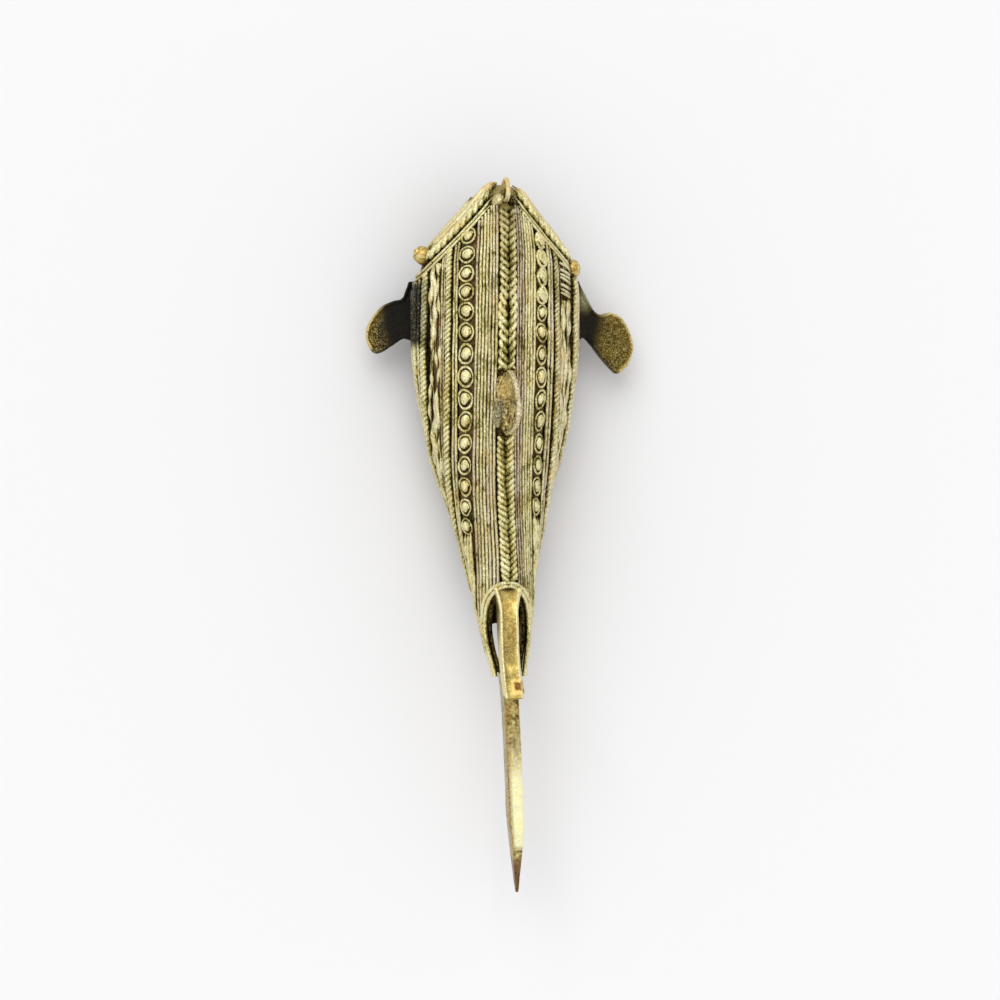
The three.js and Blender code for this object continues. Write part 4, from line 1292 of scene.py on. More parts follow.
# A coil: a ring of wire round a small domed spiral, a little longer than wide
coilLook = {
    "finish": laidBrass,
    "ring": 1.98,
    "ringWire": 0.32,
    "ringHeight": 0.45,
    "inner": 1.3,
    "innerWire": 0.3,
    "innerHeight": 0.6,
    "pellet": 1.28,
    "pelletHeight": 0.5,
    "pelletSquash": 0.66,
    "oval": 0.08,
    "turn": 0.35,
    "bend": 0.9,
    "bendSize": 2.8,
    "groove": 0.3,
    "crest": 1.4,
    "pitches": ((-28, 4.6), (-15, 5.35), (18, 5.6), (30, 4.6)),
    "width": {-1: 1.06, 1: 0.86},
    "long": 4.6,
    "firstGap": {-1: -1.3, 1: -0.6},
    "leavesUntil": 25.0,
    "lastY": {-1: -27.5, 1: -24.0},
    "core": 0.35,  # where the spiral ends, and how often and how far up it winds
    "winds": 1.6,
    "climb": 0.2,
    "domeAt": (-0.12, 0.1),
    "earth": 0.55,
}


def spiralWire(outer, inner, turns, low, high, count=44):
    # a wire wound inwards and a little upwards
    share = np.linspace(0, 1, count)
    radii, angles = outer + (inner - outer) * share, 2 * math.pi * turns * share
    return np.stack([radii * np.cos(angles), radii * np.sin(angles), low + (high - low) * share], axis=1)


coil = wireOrnament("coilOrnament", [
    circleLine(coilLook["ring"], coilLook["ringHeight"]),
    {
        "points": spiralWire(
            coilLook["inner"], coilLook["core"], coilLook["winds"], coilLook["innerHeight"],
            coilLook["pelletHeight"] + coilLook["climb"],
        ),
        "swell": coilLook["innerWire"] / coilLook["ringWire"],
    },
], coilLook["ringWire"])
addBall(
    coil, (*coilLook["domeAt"], coilLook["pelletHeight"]),
    coilLook["pellet"] * np.array((1, 1, coilLook["pelletSquash"])), lambda point: point / 1000, 16, 10,
)

# On the right the first ones are wound like leaves, with slanted strokes inside
leafLook = {
    **coilLook, "half": 1.7, "halfLong": 2.05, "wire": 0.48, "strokes": (-0.75, 0.05, 0.85), "slant": 1.0,
    "turn": 0.12, "pitch": 4.45, "long": 4.45,
}
leafLines = [circleLine(1.0, 0.45)]
leafLines[0]["points"] *= (leafLook["half"], leafLook["halfLong"], 1)
for stroke in leafLook["strokes"]:
    share = np.linspace(-1, 1, 9)
    leafLines.append({
        "points": np.stack([
            0.8 * leafLook["half"] * share, stroke - leafLook["slant"] * share, 0.62 + 0.2 * (1 - share**2),
        ], axis=1),
        "swell": 1.15 - 0.4 * share**2,
    })
leaf = wireOrnament("leafOrnament", leafLines, leafLook["wire"])


def rowPlaces(side, arc, ys, lift, width, length):
    ys = np.asarray(ys, float)
    arcs = realArc(side, arc, ys)
    points = skinPoint(side, ys, arcs, np.full(len(ys), lift))
    up = wallNormal(side, ys, arcs)
    ahead = wallPoint(side, ys + 0.3, arcs) - wallPoint(side, ys - 0.3, arcs)
    return {
        "points": points, "up": up, "out": unit(np.cross(ahead, up)), "loose": True, "swell": width,
        "stretch": length,
    }


stripLook = {"step": 1.2, "columns": 6, "height": 0.1, "clear": 1.5, "relief": 0.22}


def stripMesh(name, side, startArc, width, front, rear, earth):
    # the thin backing strip that a row of ornaments is set on, with earth left in it
    columns, lift, clear = stripLook["columns"], laid["seatGap"], stripLook["clear"]
    y = np.linspace(front, rear, int((front - rear) / stripLook["step"]))
    across = startArc + np.linspace(0, width, columns)
    heights = wallPoint(side, y, realArc(side, startArc, y))[:, 2]
    opened = (y < wallLook["archY"] + clear) & (heights > cutHeight(topCut, y, clear))
    if opened.any():
        y = y[:max(3, int(np.argmax(opened)))]
    arcs = np.stack([realArc(side, a, y) for a in across], axis=1)
    places = np.repeat(y, columns).reshape(len(y), columns)
    top, under = (
        skinPoint(side, places, arcs, np.full(places.shape, lift + h)) for h in (stripLook["height"], 0)
    )
    strip = loftMesh(name, np.concatenate([top, under[:, ::-1]], axis=1))
    setAttribute(strip.data, "relief", stripLook["relief"])
    setAttribute(strip.data, "earth", earth)
    strip.data.materials.append(laidBrass)
    return strip


def joined(name, things):
    shape = bmesh.new()
    first = things[0]
    for thing in things:
        shape.from_mesh(thing.data)
    shape.to_mesh(first.data)
    shape.free()
    for thing in things[1:]:
        bpy.data.objects.remove(thing)
    first.name = name
    return first


coilMiddle = coilArc + laid["coilRowWidth"] / 2
coilLift = laid["seatGap"] + stripLook["height"]
runLook = {  # past the last coil the row runs out as three lumpy threads
    "apart": 1.25, "lift": 0.5, "swell": 1.2, "spacing": 0.4, "stray": 0.16,
    "start": (1.6, 0.3), "lumps": (0.16, (1.1, 0.55, 4.1)),
}
for sideNode, sideName, side in sides:
    front, rear = float(frontY(realArc(side, coilMiddle, pullSpan[0]))), rearY(coilMiddle) + 2
    ys, lengths, y = [], [], front - coilLook["firstGap"][side]
    while y > coilLook["lastY"][side]:
        leafy = side > 0 and y > coilLook["leavesUntil"]
        pitch = leafLook["pitch"] if leafy else float(np.interp(y, *zip(*coilLook["pitches"])))
        ys.append(y - 0.5 * pitch)
        lengths.append(pitch)
        y -= pitch
    ys, lengths = np.array(ys), np.array(lengths)
    widths = coilLook["width"][side] * np.interp(ys, (-28, -12, 0), (0.84, 0.92, 1.0))
    rows = [stripMesh("coilStrip", side, coilArc, laid["coilRowWidth"], front, rear, coilLook["earth"])]
    for k in (-1, 0, 1):
        line = laidLine(
            side, coilMiddle + runLook["apart"] * k, laid["seatGap"] + runLook["lift"], y + 0.6, rear - 2,
            spacing=runLook["spacing"], stray=runLook["stray"], seed=45 + side + 3 * k,
        )
        startLength, startLeast = runLook["start"]
        start = np.clip((line["y"][0] - line["y"]) / startLength, startLeast, 1)
        lumpy = 1 + wavering(46 + side + 3 * k, *runLook["lumps"])(line["y"])
        line["swell"] = runLook["swell"] * start * line["thin"] * lumpy
        rows.append(grow(linesObject("coilRun", [line]), wireTree, threadLook, seed=45 + k))
    leaves = (ys > coilLook["leavesUntil"] - 1) & (side > 0)
    for ornament, look, which in ((coil, coilLook, ~leaves), (leaf, leafLook, leaves)):
        if which.any():
            stretches = lengths[which] / look["long"]
            row = linesObject("coilRow", [
                rowPlaces(side, coilMiddle, ys[which], coilLift, widths[which], stretches),
            ])
            rows.append(grow(row, rowTree, look, ornament=ornament, seed=41 + side))
    keep(joined(f"coilRow{sideName}", rows), f"coil_row_{sideNode}")

# Openwork on the flanks: wires that weave along their strip, crossing and uneven
scrollLook = {
    "wires": 4,
    "lift": 0.48,
    "weave": {-1: 0.24, 1: 0.22},
    "weaveSizes": (3.9, 2.1, 6.3),
    "spacing": 0.4,
    "wander": 0.5,
    "pinch": {-1: 0.5, 1: 0.36},
    "pinchSizes": (2.1, 0.9, 6.3),
    "thick": {-1: 0.85, 1: 1.05},
    "bars": {-1: (), 1: ((35, 27.5, 1.2),)},  # front, rear and pitch of the slanted bars
    "slant": 1.9,
    "wire": 0.46,
    "earth": {-1: 1.0, 1: 0.6},
}
scrollMiddle = scrollArc + laid["scrollWidth"] / 2
for sideNode, sideName, side in sides:
    front, rear = float(frontY(realArc(side, scrollMiddle, pullSpan[0]))), rearY(scrollMiddle) + 1.2
    dice = np.random.default_rng(51 + side)
    lines = []
    # wires that run the length of the strip, weaving, crossing and thinning out
    for k in range(scrollLook["wires"]):
        base = scrollArc + laid["scrollWidth"] * (k + 0.5) / scrollLook["wires"]
        line = laidLine(
            side, base, laid["seatGap"] + scrollLook["lift"], front, rear, scrollLook["spacing"],
            seed=57 + 9 * k + side,
        )
        y = line["y"]
        weave = wavering(58 + 9 * k + side, scrollLook["weave"][side], scrollLook["weaveSizes"])(y)
        line["points"] = line["points"] + line["out"] * weave[:, None]
        pinch = wavering(59 + 9 * k + side, scrollLook["pinch"][side], scrollLook["pinchSizes"])(y)
        line["swell"] = line["thin"] * np.clip(scrollLook["thick"][side] + pinch, 0.3, 1.9)
        for barFront, barRear, _ in scrollLook["bars"][side]:
            line["swell"] = np.where((y > barRear - 1) & (y < barFront + 1), 0.3, line["swell"])
        lines.append(line)
    # short slanted bars over them, like a comb, behind the right gill
    for barFront, barRear, pitch in scrollLook["bars"][side]:
        for y in np.arange(barFront, barRear, -pitch):
            y += dice.uniform(-0.2, 0.2) * pitch
            across = np.linspace(0.1, 0.95, 7)
            slant = scrollLook["slant"] * dice.uniform(0.85, 1.15)
            ys = y + slant * (0.5 - across) * side
            arcs = realArc(side, scrollArc + laid["scrollWidth"] * across, ys)
            lifts = laid["seatGap"] + scrollLook["lift"] + 0.3 * np.sin(math.pi * across)
            lines.append({
                "points": skinPoint(side, ys, arcs, lifts),
                "swell": dice.uniform(0.75, 0.95) * np.clip(2.4 * np.sin(math.pi * across), 0.4, 1),
            })
    for line in lines:
        line["tint"], line["sootAndShade"] = dice.uniform(0, 0.5 if side > 0 else 0.25), sootAndShadeNearFin(line["points"])
    wireLook = {**threadLook, "radius": scrollLook["wire"], "wander": scrollLook["wander"]}
    wire = grow(linesObject("scrollWire", lines), wireTree, wireLook, seed=51 + side)
    strip = stripMesh(
        "scrollStrip", side, scrollArc, laid["scrollWidth"], front + 0.8, rear, scrollLook["earth"][side],
    )
    keep(joined(f"scrollRow{sideName}", [strip, wire]), f"scroll_row_{sideNode}")
print("coils and scrolls set")

# Head bands: chevrons over the cheeks that part round the eyes and the nostrils
browFromArc = nostrilArc + nostrilLook["radius"] + sideGap
browPlaitStart = sideGap + laid["browThreads"] * threadPitch + sideGap
browCordStart = browPlaitStart + plaitWidth + sideGap
cheekStart = browCordStart + laid["browCordWidth"] + sideGap
browLook = {
    "cords": (  # ahead, radius and lift of each strand
        (-0.95, 0.62, 0.45), (0.1, 0.78, 0.55), (1.1, 0.62, 0.4),
    ),
    "cordStart": {-1: -2.2, 1: 1.0},
    "sides": 10,
    "lobes": ((30, 2.1), (50, 2.3)),
    "plaitSwell": 1.18,
    "taper": 2.2,
    "thinnest": 0.35,
}
cordLook = {
    **threadLook, "radius": 1.0, "sides": browLook["sides"], "crest": 1.5, "finish": goldenBrass,
}


def chevronLine(side, fromArc, toArc, ahead, lift, spacing=0.6, bars=()):
    arcs = np.linspace(fromArc, toArc, int((toArc - fromArc) * 1.4 / spacing))
    y = forwardY(arcs, ahead)
    points = skinPoint(side, y, arcs, np.full(len(y), lift))
    free = np.ones(len(y), bool)
    for barY, barArc, room in bars:
        free &= np.linalg.norm(points - skinPoint(side, barY, barArc, lift), axis=1) > room
    # the longest stretch with nothing in its way
    edges = np.flatnonzero(np.diff(np.concatenate([[0], free.astype(int), [0]])))
    start, end = max(zip(edges[::2], edges[1::2]), key=lambda run: run[1] - run[0])
    y, arcs, points = y[start:end], arcs[start:end], points[start:end]
    up = wallNormal(side, y, arcs)
    out = unit(np.cross(up, np.gradient(points, axis=0)))
    swell = tapered(points, browLook["taper"], browLook["thinnest"])
    return {"points": points, "up": up, "out": out, "y": y, "swell": swell}


for sideNode, sideName, side in sides:
    bars = (
        (eyeY - eyeBack[side], eyeArc, eyeLook["radius"] + eyeLook["room"]),
        (nostrilLook["y"], nostrilArc, nostrilLook["radius"] + nostrilLook["room"]),
    )
    lift = laid["seatGap"] + threadLook["lift"]
    lines = [
        chevronLine(side, browFromArc - 0.8, laidEndArc, sideGap + (i + 0.5) * threadPitch, lift, bars=bars)
        for i in range(laid["browThreads"])
    ]
    lay("browThreads" + sideName, f"brow_threads_{sideNode}", lines, wireTree, threadLook, seed=61)
    line = chevronLine(
        side, browFromArc - 0.4, laidEndArc, browPlaitStart + plaitWidth / 2,
        laid["seatGap"] + plaitLook["lift"], spacing=plaitLook["spacing"], bars=bars,
    )
    line["turn"] = turning(line, browLook["lobes"])
    line["swell"] = browLook["plaitSwell"] * line["swell"]
    lay(
        "browPlait" + sideName, f"brow_plait_{sideNode}", [line], twistTree, plaitLook, handedness=side,
        seed=62,
    )
    strands = []
    for k, (ahead, radius, cordLift) in enumerate(browLook["cords"]):
        line = chevronLine(
            side, browFromArc + browLook["cordStart"][side], eyeArc - 0.6 * eyeLook["radius"],
            browCordStart + laid["browCordWidth"] / 2 + ahead, laid["seatGap"] + cordLift, bars=bars,
        )
        line["swell"] = line["swell"] * radius * (1 + wavering(63 + side + 5 * k, 0.06)(line["y"]))
        strands.append(line)
    lay(
        "browCord" + sideName, f"brow_cord_{sideNode}", strands, wireTree, cordLook, "golden_brass",
        seed=63,
    )
    lines = [
        chevronLine(
            side, laid["cheekFromArc"] + 1.5 + i, laidEndArc, cheekStart + (i + 0.5) * threadPitch, lift,
            bars=bars,
        ) for i in range(laid["cheekThreads"])
    ]
    lay(
        "cheekThreads" + sideName, f"cheek_threads_{sideNode}", lines, wireTree, threadLook,
        "dark_cast_brass", seed=64,
    )
print("head bands laid")


# Eyes: a boss with a raised lid, a sunk ring and a pupil
eyeStand = {-1: 0.95, 1: 0.62}  # the right one was pressed flatter
eyeCast = {
    "finish": eyeBrass, "grainSize": 0.5, "grainDepth": 0.03, "lumpSize": 3.0, "lumpDepth": 0.12,
}
bossRadius, bossHeight, lidRadius = eyeLook["radius"], eyeLook["height"], eyeLook["lidRadius"]
eyeProfile = (
    (bossRadius, -1.6), (bossRadius, 0.3 * bossHeight), (0.97 * bossRadius, 0.45 * bossHeight),
    (0.88 * bossRadius, 0.62 * bossHeight), (lidRadius + 0.15, 0.78 * bossHeight),
    (lidRadius - 0.1, 0.8 * bossHeight), (lidRadius - 0.35, 0.7 * bossHeight),
    (eyeLook["pupilRadius"] + 0.1, 0.62 * bossHeight),
    (eyeLook["pupilRadius"], 0.72 * bossHeight), (0.9 * eyeLook["pupilRadius"], 0.86 * bossHeight),
    (0.6 * eyeLook["pupilRadius"], 0.97 * bossHeight), (0.02, bossHeight),
)
for sideNode, sideName, side in sides:
    profile = [(radius, eyeStand[side] * height) for radius, height in eyeProfile]
    piece = turnedAbout("eye" + sideName, profile, side, eyeY - eyeBack[side], eyeArc, laid["seatGap"])
    keep(grow(piece, castTree, eyeCast, seed=71 + side), f"eye_{sideNode}")

# Nostrils: two small beads pressed on each side of the loop, the right one dark with soot
nostrilCast = {"grainSize": 0.7, "grainDepth": 0.03, "lumpSize": 1.8, "lumpDepth": 0.12}
nostrilRadius = nostrilLook["radius"]
nostrilProfile = (
    (nostrilRadius, -0.6), (nostrilRadius, 0.15), (0.96 * nostrilRadius, 0.55), (0.83 * nostrilRadius, 0.9),
    (0.6 * nostrilRadius, 1.15), (0.3 * nostrilRadius, 1.28), (0.02, nostrilLook["height"]),
)
nostrilShare = {-1: 1.3, 1: 1.0}
for sideNode, sideName, side in sides:
    profile = [(radius * nostrilShare[side], height) for radius, height in nostrilProfile]
    piece = turnedAbout(
        "nostril" + sideName, profile, side, nostrilLook["y"], nostrilArc - nostrilInward,
        laid["seatGap"], segments=28,
    )
    setAttribute(piece.data, "tint", 0.5)
    setAttribute(piece.data, "pale", 0.6)
    grow(piece, castTree, nostrilCast, seed=73 + side, finish=satinBrass if side < 0 else darkCastBrass)
    keep(piece, f"nostril_{sideNode}")

# Nose loop: one turn of wire, upright along the fish
loopAngles = np.linspace(0, 2 * math.pi, noseLoop["count"], endpoint=False)
loopAhead, loopUp = noseLoop["radius"] * np.cos(loopAngles), noseLoop["radius"] * np.sin(loopAngles)
loopPoints = np.stack([
    np.full(noseLoop["count"], float(centreX(noseLoop["y"]))),
    noseLoop["y"] + loopAhead * np.where(loopAhead < 0, noseLoop["rearShare"], 1),
    noseLoop["z"] + noseLoop["stretch"] * loopUp,
], axis=1)
loopSwell = noseLoop["thin"] + noseLoop["footSwell"] * np.clip(-np.sin(loopAngles), 0, 1)
loopWire = {**threadLook, **noseLoop, "radius": noseLoop["wire"], "finish": goldenBrass}
lay(
    "noseLoop", "nose_loop", [{"points": loopPoints, "closed": True, "swell": loopSwell}], wireTree,
    loopWire, "golden_brass", seed=75,
)

# Lips round the mouth
lipLook = {
    "z": 18.6, "halfWidth": 3.2, "halfHeight": 1.8, "y": 54.5, "inward": 0.7, "wire": 0.85, "sides": 12,
    "wander": 0.2,
}


def faceY(x, z):
    # where the snout's face is, read back from its tip
    y = snoutY
    while y > wallLook["jawY"]:
        points = sectionAt(y)[0]
        under = np.argmax(points[:, 1] <= z)
        if under > 0 and points[under, 0] >= abs(x):
            return y
        y -= 0.1
    return y


lipPoints = []
for a in np.linspace(0, 2 * math.pi, 48, endpoint=False):
    x, z = lipLook["halfWidth"] * math.cos(a), lipLook["z"] + lipLook["halfHeight"] * math.sin(a)
    lipPoints.append((float(centreX(lipLook["y"])) + x, faceY(x, z) - lipLook["inward"], z))
lipPoints = np.array(lipPoints)
for _ in range(3):
    lipPoints[:, 1] = (np.roll(lipPoints[:, 1], 1) + lipPoints[:, 1] + np.roll(lipPoints[:, 1], -1)) / 3
lipWire = {**threadLook, **lipLook, "radius": lipLook["wire"]}
lay("lips", "lips", [{"points": lipPoints, "closed": True}], wireTree, lipWire, seed=76)
print("face made")


# Fins
def splineThrough(points, perSpan=8):
    points = [np.array(p, float) for p in points]
    padded = [points[0]] + points + [points[-1]]
    line = []
    for i in range(1, len(padded) - 2):
        p0, p1, p2, p3 = padded[i - 1:i + 3]
        for t in np.linspace(0, 1, perSpan, endpoint=False):
            v0, v1 = (p2 - p0) / 2, (p3 - p1) / 2
            line.append(
                (2 * p1 - 2 * p2 + v0 + v1) * t**3 + (-3 * p1 + 3 * p2 - 2 * v0 - v1) * t**2 + v0 * t + p1
            )
    return line + [points[-1]]


def distanceToLine(points, line):
    # shortest distance from flat points to a flat polyline
    a, b = np.array(line[:-1]), np.array(line[1:])
    best = np.full(len(points), 1e9)
    for start, step in zip(a, b - a):
        t = np.clip(((points - start) @ step) / max(step @ step, 1e-9), 0, 1)
        best = np.minimum(best, np.linalg.norm(points - start - t[:, None] * step, axis=1))
    return best


finLook = {
    "thickness": 2.2,
    "voxel": 0.22,
    "smoothing": 3,
    "rimWidth": 0.95,
    "rimRise": 0.32,
    "standOff": 1.6,
    "grainSize": 0.5,
    "grainDepth": 0.16,
    "lumpSize": 2.4,
    "lumpDepth": 0.42,
}
fins = {
    "Left": {
        "y": 23.8, "z": 10.2, "droop": 12, "rootFront": 7.9, "rootBack": -6.9, "sootReach": 8.4,
        "amber": (2.6, 0.9), "finish": sootyShadedBrass,
        "edge": (
            (0.9, 5.2), (1.7, 3.5), (4.2, 2.9), (7.2, 1.2), (9.9, -2.2), (10.8, -5.6), (10.1, -8.4),
            (8.1, -10.3), (4.6, -8.6), (2.0, -6.8), (0.8, -6.6),
        ),
        "bareEdge": (0.8, -6.6, -0.49),
        "lit": ((3.6, 3.4), 0.1),
    },
    "Right": {
        "y": 22.9, "z": 10.2, "droop": 10, "rootFront": 9.2, "rootBack": -6.9, "sootReach": 7.6,
        "amber": (4.6, 0.6), "finish": amberBrass,
        "edge": (
            (1.5, 6.2), (4.9, 1.0), (8.6, 1.2), (11.6, -0.2), (13.6, -3.4), (14.7, -8.0), (13.2, -12.0),
            (10.6, -14.2), (8.8, -13.2), (6.2, -10.3), (1.6, -5.2),
        ),
        "bareEdge": (1.6, -5.2, -1.11),
        "lit": ((1.7, 4.8), 2.3),
    },
}
for sideNode, sideName, side in sides:
    fin = fins[sideName]
    angle = math.radians(fin["droop"])
    base = float(stationAt("half", fin["y"])) + finLook["standOff"]
    middle = float(centreX(fin["y"]))
    inside = finLook["standOff"] + wallLook["thickness"]
    edge = splineThrough([(0, fin["rootFront"]), *fin["edge"], (0, fin["rootBack"])])
    outline = [(-inside, fin["rootFront"]), *[tuple(p) for p in edge], (-inside, fin["rootBack"])]

    def finPlace(u, v, w):
        return (
            middle + side * (base + u * math.cos(angle) + w * math.sin(angle)),
            fin["y"] + v,
            fin["z"] - u * math.sin(angle) + w * math.cos(angle),
        )

    piece = slab("pectoralFin" + sideName, outline, finLook["thickness"], finPlace)
    remeshed(piece, finLook["voxel"], finLook["smoothing"])
    points = readPoints(piece)
    out = side * (points[:, 0] - middle) - base
    down = points[:, 2] - fin["z"]
    u = out * math.cos(angle) - down * math.sin(angle)
    w = out * math.sin(angle) + down * math.cos(angle)
    v = points[:, 1] - fin["y"]
    fromEdge = distanceToLine(np.stack([u, v], axis=1), edge)
    rim = np.clip(1 - fromEdge / finLook["rimWidth"], 0, 1)
    # soot and painted shade on the fin, darkest at the root under the body
    sootAndShade = np.clip(2.2 - 2.0 * (u - 0.2 * v) / fin["sootReach"], 0, 1)
    rise = finLook["rimRise"] * (np.sin(np.pi * np.clip(rim, 0, 1)) - 0.4) * np.sign(w)
    points[:, 0] += side * rise * math.sin(angle)
    points[:, 2] += rise * math.cos(angle)
    writePoints(piece, points)
    # gold is rubbed bright along the outer edge only, with a painted highlight on it, and amber inside it
    bareU, bareV, slope = fin["bareEdge"]
    outer = np.clip((u - 2.0) / 2, 0, 1) * np.clip((v - bareV - slope * (u - bareU) - 0.8) / 1.6, 0, 1)
    rimGoldAndHighlight = 1.5 * rim * outer
    amberWidth, amberShare = fin["amber"]
    amber = amberShare * np.clip(1.1 - fromEdge / amberWidth, 0, 1) * np.clip((u - 2) / 4, 0, 1) * outer
    (litU, litV), litReach = fin["lit"]
    lit = np.clip(1.3 - np.hypot(u - litU, 0.6 * (v - litV)) / litReach, 0, 1)
    for key, values in {"rim": rimGoldAndHighlight, "sootAndShade": sootAndShade * (1 - lit), "lit": lit, "amber": amber}.items():
        setAttribute(piece.data, key, values)
    grow(piece, castTree, {**finLook, **fin}, seed=81 + side)
    keep(piece, f"pectoral_fin_{sideNode}")

# Dorsal fin: a leaf that leans to the right, thick along its top edge, with an overflow of metal beside it
dorsalLook = {
    "finish": crestBrass,
    "rows": (  # y, left foot and crest across from the spine, and height
        (8.8, 0.1, 0.5, 3.0), (7.6, -1.6, 0.9, 5.4), (6.4, -2.5, 1.3, 6.6), (4.1, -2.6, 1.8, 7.3),
        (1.6, -2.0, 2.2, 7.4), (-0.9, -1.3, 2.4, 7.3), (-3.3, -1.2, 2.3, 6.8), (-5.3, -1.1, 1.8, 5.4),
        (-6.7, -0.7, 0.8, 3.4), (-7.3, -0.2, 0.2, 1.8),
    ),
    "crestHalf": 0.6,
    "sink": 1.4,
    "spill": ((-2.3, -1.7, 0.4), (1.4, 3.8, 0.5)),
    "gilt": ((-0.5, 4.2), (1.9, 3.2)),
    "voxel": 0.18,
    "smoothing": 3,
    "grainSize": 0.7,
    "grainDepth": 0.13,
    "lumpSize": 1.7,
    "lumpDepth": 1.0,
}
rings = []
for y in np.linspace(dorsalLook["rows"][0][0], dorsalLook["rows"][-1][0], 30):
    left, crest, height = (float(follow(dorsalLook["rows"], k, y)) for k in (1, 2, 3))
    x, foot, half = float(centreX(y)), float(stationAt("back", y)), dorsalLook["crestHalf"]
    rings.append([(x + across, y, foot + up) for across, up in (
        (left, -dorsalLook["sink"]), (left, 0.3), (left + 0.4 * (crest - left), 0.26 * height),
        (crest - 1.5 * half, 0.7 * height), (crest - 1.2 * half, 0.94 * height), (crest, height),
        (crest + half, 0.9 * height), (crest + 0.6 * half, 0.6 * height), (left + 2.9, 0.9),
        (left + 3.1, -dorsalLook["sink"]),
    )])
piece = loftMesh("dorsalFin", rings)
(spillX, spillY, spillZ), spillRadii = dorsalLook["spill"]
spillAt = (float(centreX(spillY)) + spillX, spillY, float(stationAt("back", spillY)) + spillZ)
addBall(piece, spillAt, spillRadii, toFrame, 24, 14)  # a lump of spilt metal
remeshed(piece, dorsalLook["voxel"], dorsalLook["smoothing"])
points = readPoints(piece)
height = points[:, 2] - stationAt("back", points[:, 1])
(giltX, giltY), (giltWide, giltLong) = dorsalLook["gilt"]
crown = 5 * height / follow(dorsalLook["rows"], 3, points[:, 1]) - 4
setAttribute(piece.data, "crown", np.clip(crown, 0, 1))
setAttribute(piece.data, "gilt", 0.75 * np.clip(
    1.6 - 1.3 * np.hypot((points[:, 0] - giltX) / giltWide, (points[:, 1] - giltY) / giltLong), 0, 1,
))
setAttribute(piece.data, "dull", np.clip(
    1.7 - 1.3 * np.hypot((points[:, 0] - spillX) / 1.7, (points[:, 1] - spillY) / spillRadii[1]), 0, 1,
))
keep(grow(piece, castTree, dorsalLook, seed=85), "dorsal_fin")
print("fins made")


# Tail
tailLook = {
    "finish": rubbedBrass,
    "voxel": 0.28,
    "smoothing": 5,
    "ribThickness": 4.7,
    "plateThickness": 3.7,
    "edgeWidth": 0.9,
    "edgeRise": 0.28,
    "grainSize": 0.8,
    "grainDepth": 0.05,
    "lumpSize": 4,
    "lumpDepth": 0.25,
}
archY = wallLook["archY"]
upperLobe = {
    "tuck": 3.6, "endY": -72.6, "endZ": 39.0, "ribHeight": 5.2, "arch": 0.8, "endSlant": 1.0, "lean": -1.5,
    "finish": satinBrass, "grainSize": 3.2, "grainDepth": 0.03,  # smoother than the plate
}
fork = {"y": -70.4, "z": 24.4, "throat": 4, "hollow": 1}
lowerLobe = {"y": -78, "topZ": 20.2, "bottomZ": 13.0}
tailNotch = {"y": -110.4, "depth": 0.8, "width": 0.5, "run": 6, "rise": 2.5}
tailTip = {"y": -121.9, "z": 14.6, "half": 0.8, "taperFrom": -102, "share": 0.16, "ease": 1.3}
web = {"topY": -59.0, "frontY": -63.0, "footZ": 12.8}
ribRiseY = archY - upperLobe["tuck"]
underPoints = sectionAt(ribRiseY, thicknessAt(ribRiseY))[0]
archHalf = tailLook["ribThickness"] / 2 + laid["seatGap"]
ribTopZ = float(underPoints[int(np.argmax(underPoints[:, 0] > archHalf)), 1]) - laid["seatGap"]
ribRootZ = ribTopZ - upperLobe["ribHeight"]
ribEndZ = upperLobe["endZ"] - upperLobe["ribHeight"]
ribHeelY = upperLobe["endY"] + upperLobe["endSlant"]
ribMid = ((ribRiseY + upperLobe["endY"]) / 2, (ribTopZ + upperLobe["endZ"]) / 2 + upperLobe["arch"])
ribMidUnder = ribMid[1] - upperLobe["ribHeight"]


def ribLean(y):
    share = np.clip((y - upperLobe["endY"]) / (archY - upperLobe["endY"]), 0, 1)
    return upperLobe["lean"] * (1 - share * share * (3 - 2 * share))


def plateShare(y):
    gone = np.clip((tailTip["taperFrom"] - y) / (tailTip["taperFrom"] - tailTip["y"]), 0, 1)
    return 1 - (1 - tailTip["share"]) * gone ** tailTip["ease"]


def tailPiece(name, outline, thickness, shareAt, leanAt):
    # a side outline given its thickness, narrowed and leaned along its length
    piece = slab(name, outline, thickness, lambda u, v, w: (w, u, v))
    remeshed(piece, tailLook["voxel"], tailLook["smoothing"])
    points = readPoints(piece)
    y = points[:, 1]
    across = points[:, 0] / (thickness / 2)
    points[:, 0] = centreX(y) + leanAt(y) + points[:, 0] * shareAt(y)
    writePoints(piece, points)
    return piece, points, across


def joinedCurves(*curves):
    outline = []
    for curve in curves:
        outline += [tuple(p) for p in curve][1 if outline else 0:]
    return outline


ribRoot = {"sink": 0.7, "flare": 0.6, "reach": 6.5}  # the lobe spreads and rises to meet the arch
ribTop = quadratic(
    (archY, float(stationAt("back", archY)) - ribRoot["sink"]), ribMid,
    (upperLobe["endY"], upperLobe["endZ"]), 30,
)
ribUnder = quadratic((ribHeelY, ribEndZ), (ribMid[0], ribMidUnder), (archY, ribRootZ), 30)
ribOutline = [(archY, ribRootZ)] + [tuple(p) for p in ribTop] + [tuple(p) for p in ribUnder[:-1]]
piece, points, across = tailPiece(
    "tailUpperLobe", ribOutline, tailLook["ribThickness"],
    lambda y: 1 + ribRoot["flare"] * np.clip(1 + (y - archY) / ribRoot["reach"], 0, 1) ** 1.6, ribLean,
)
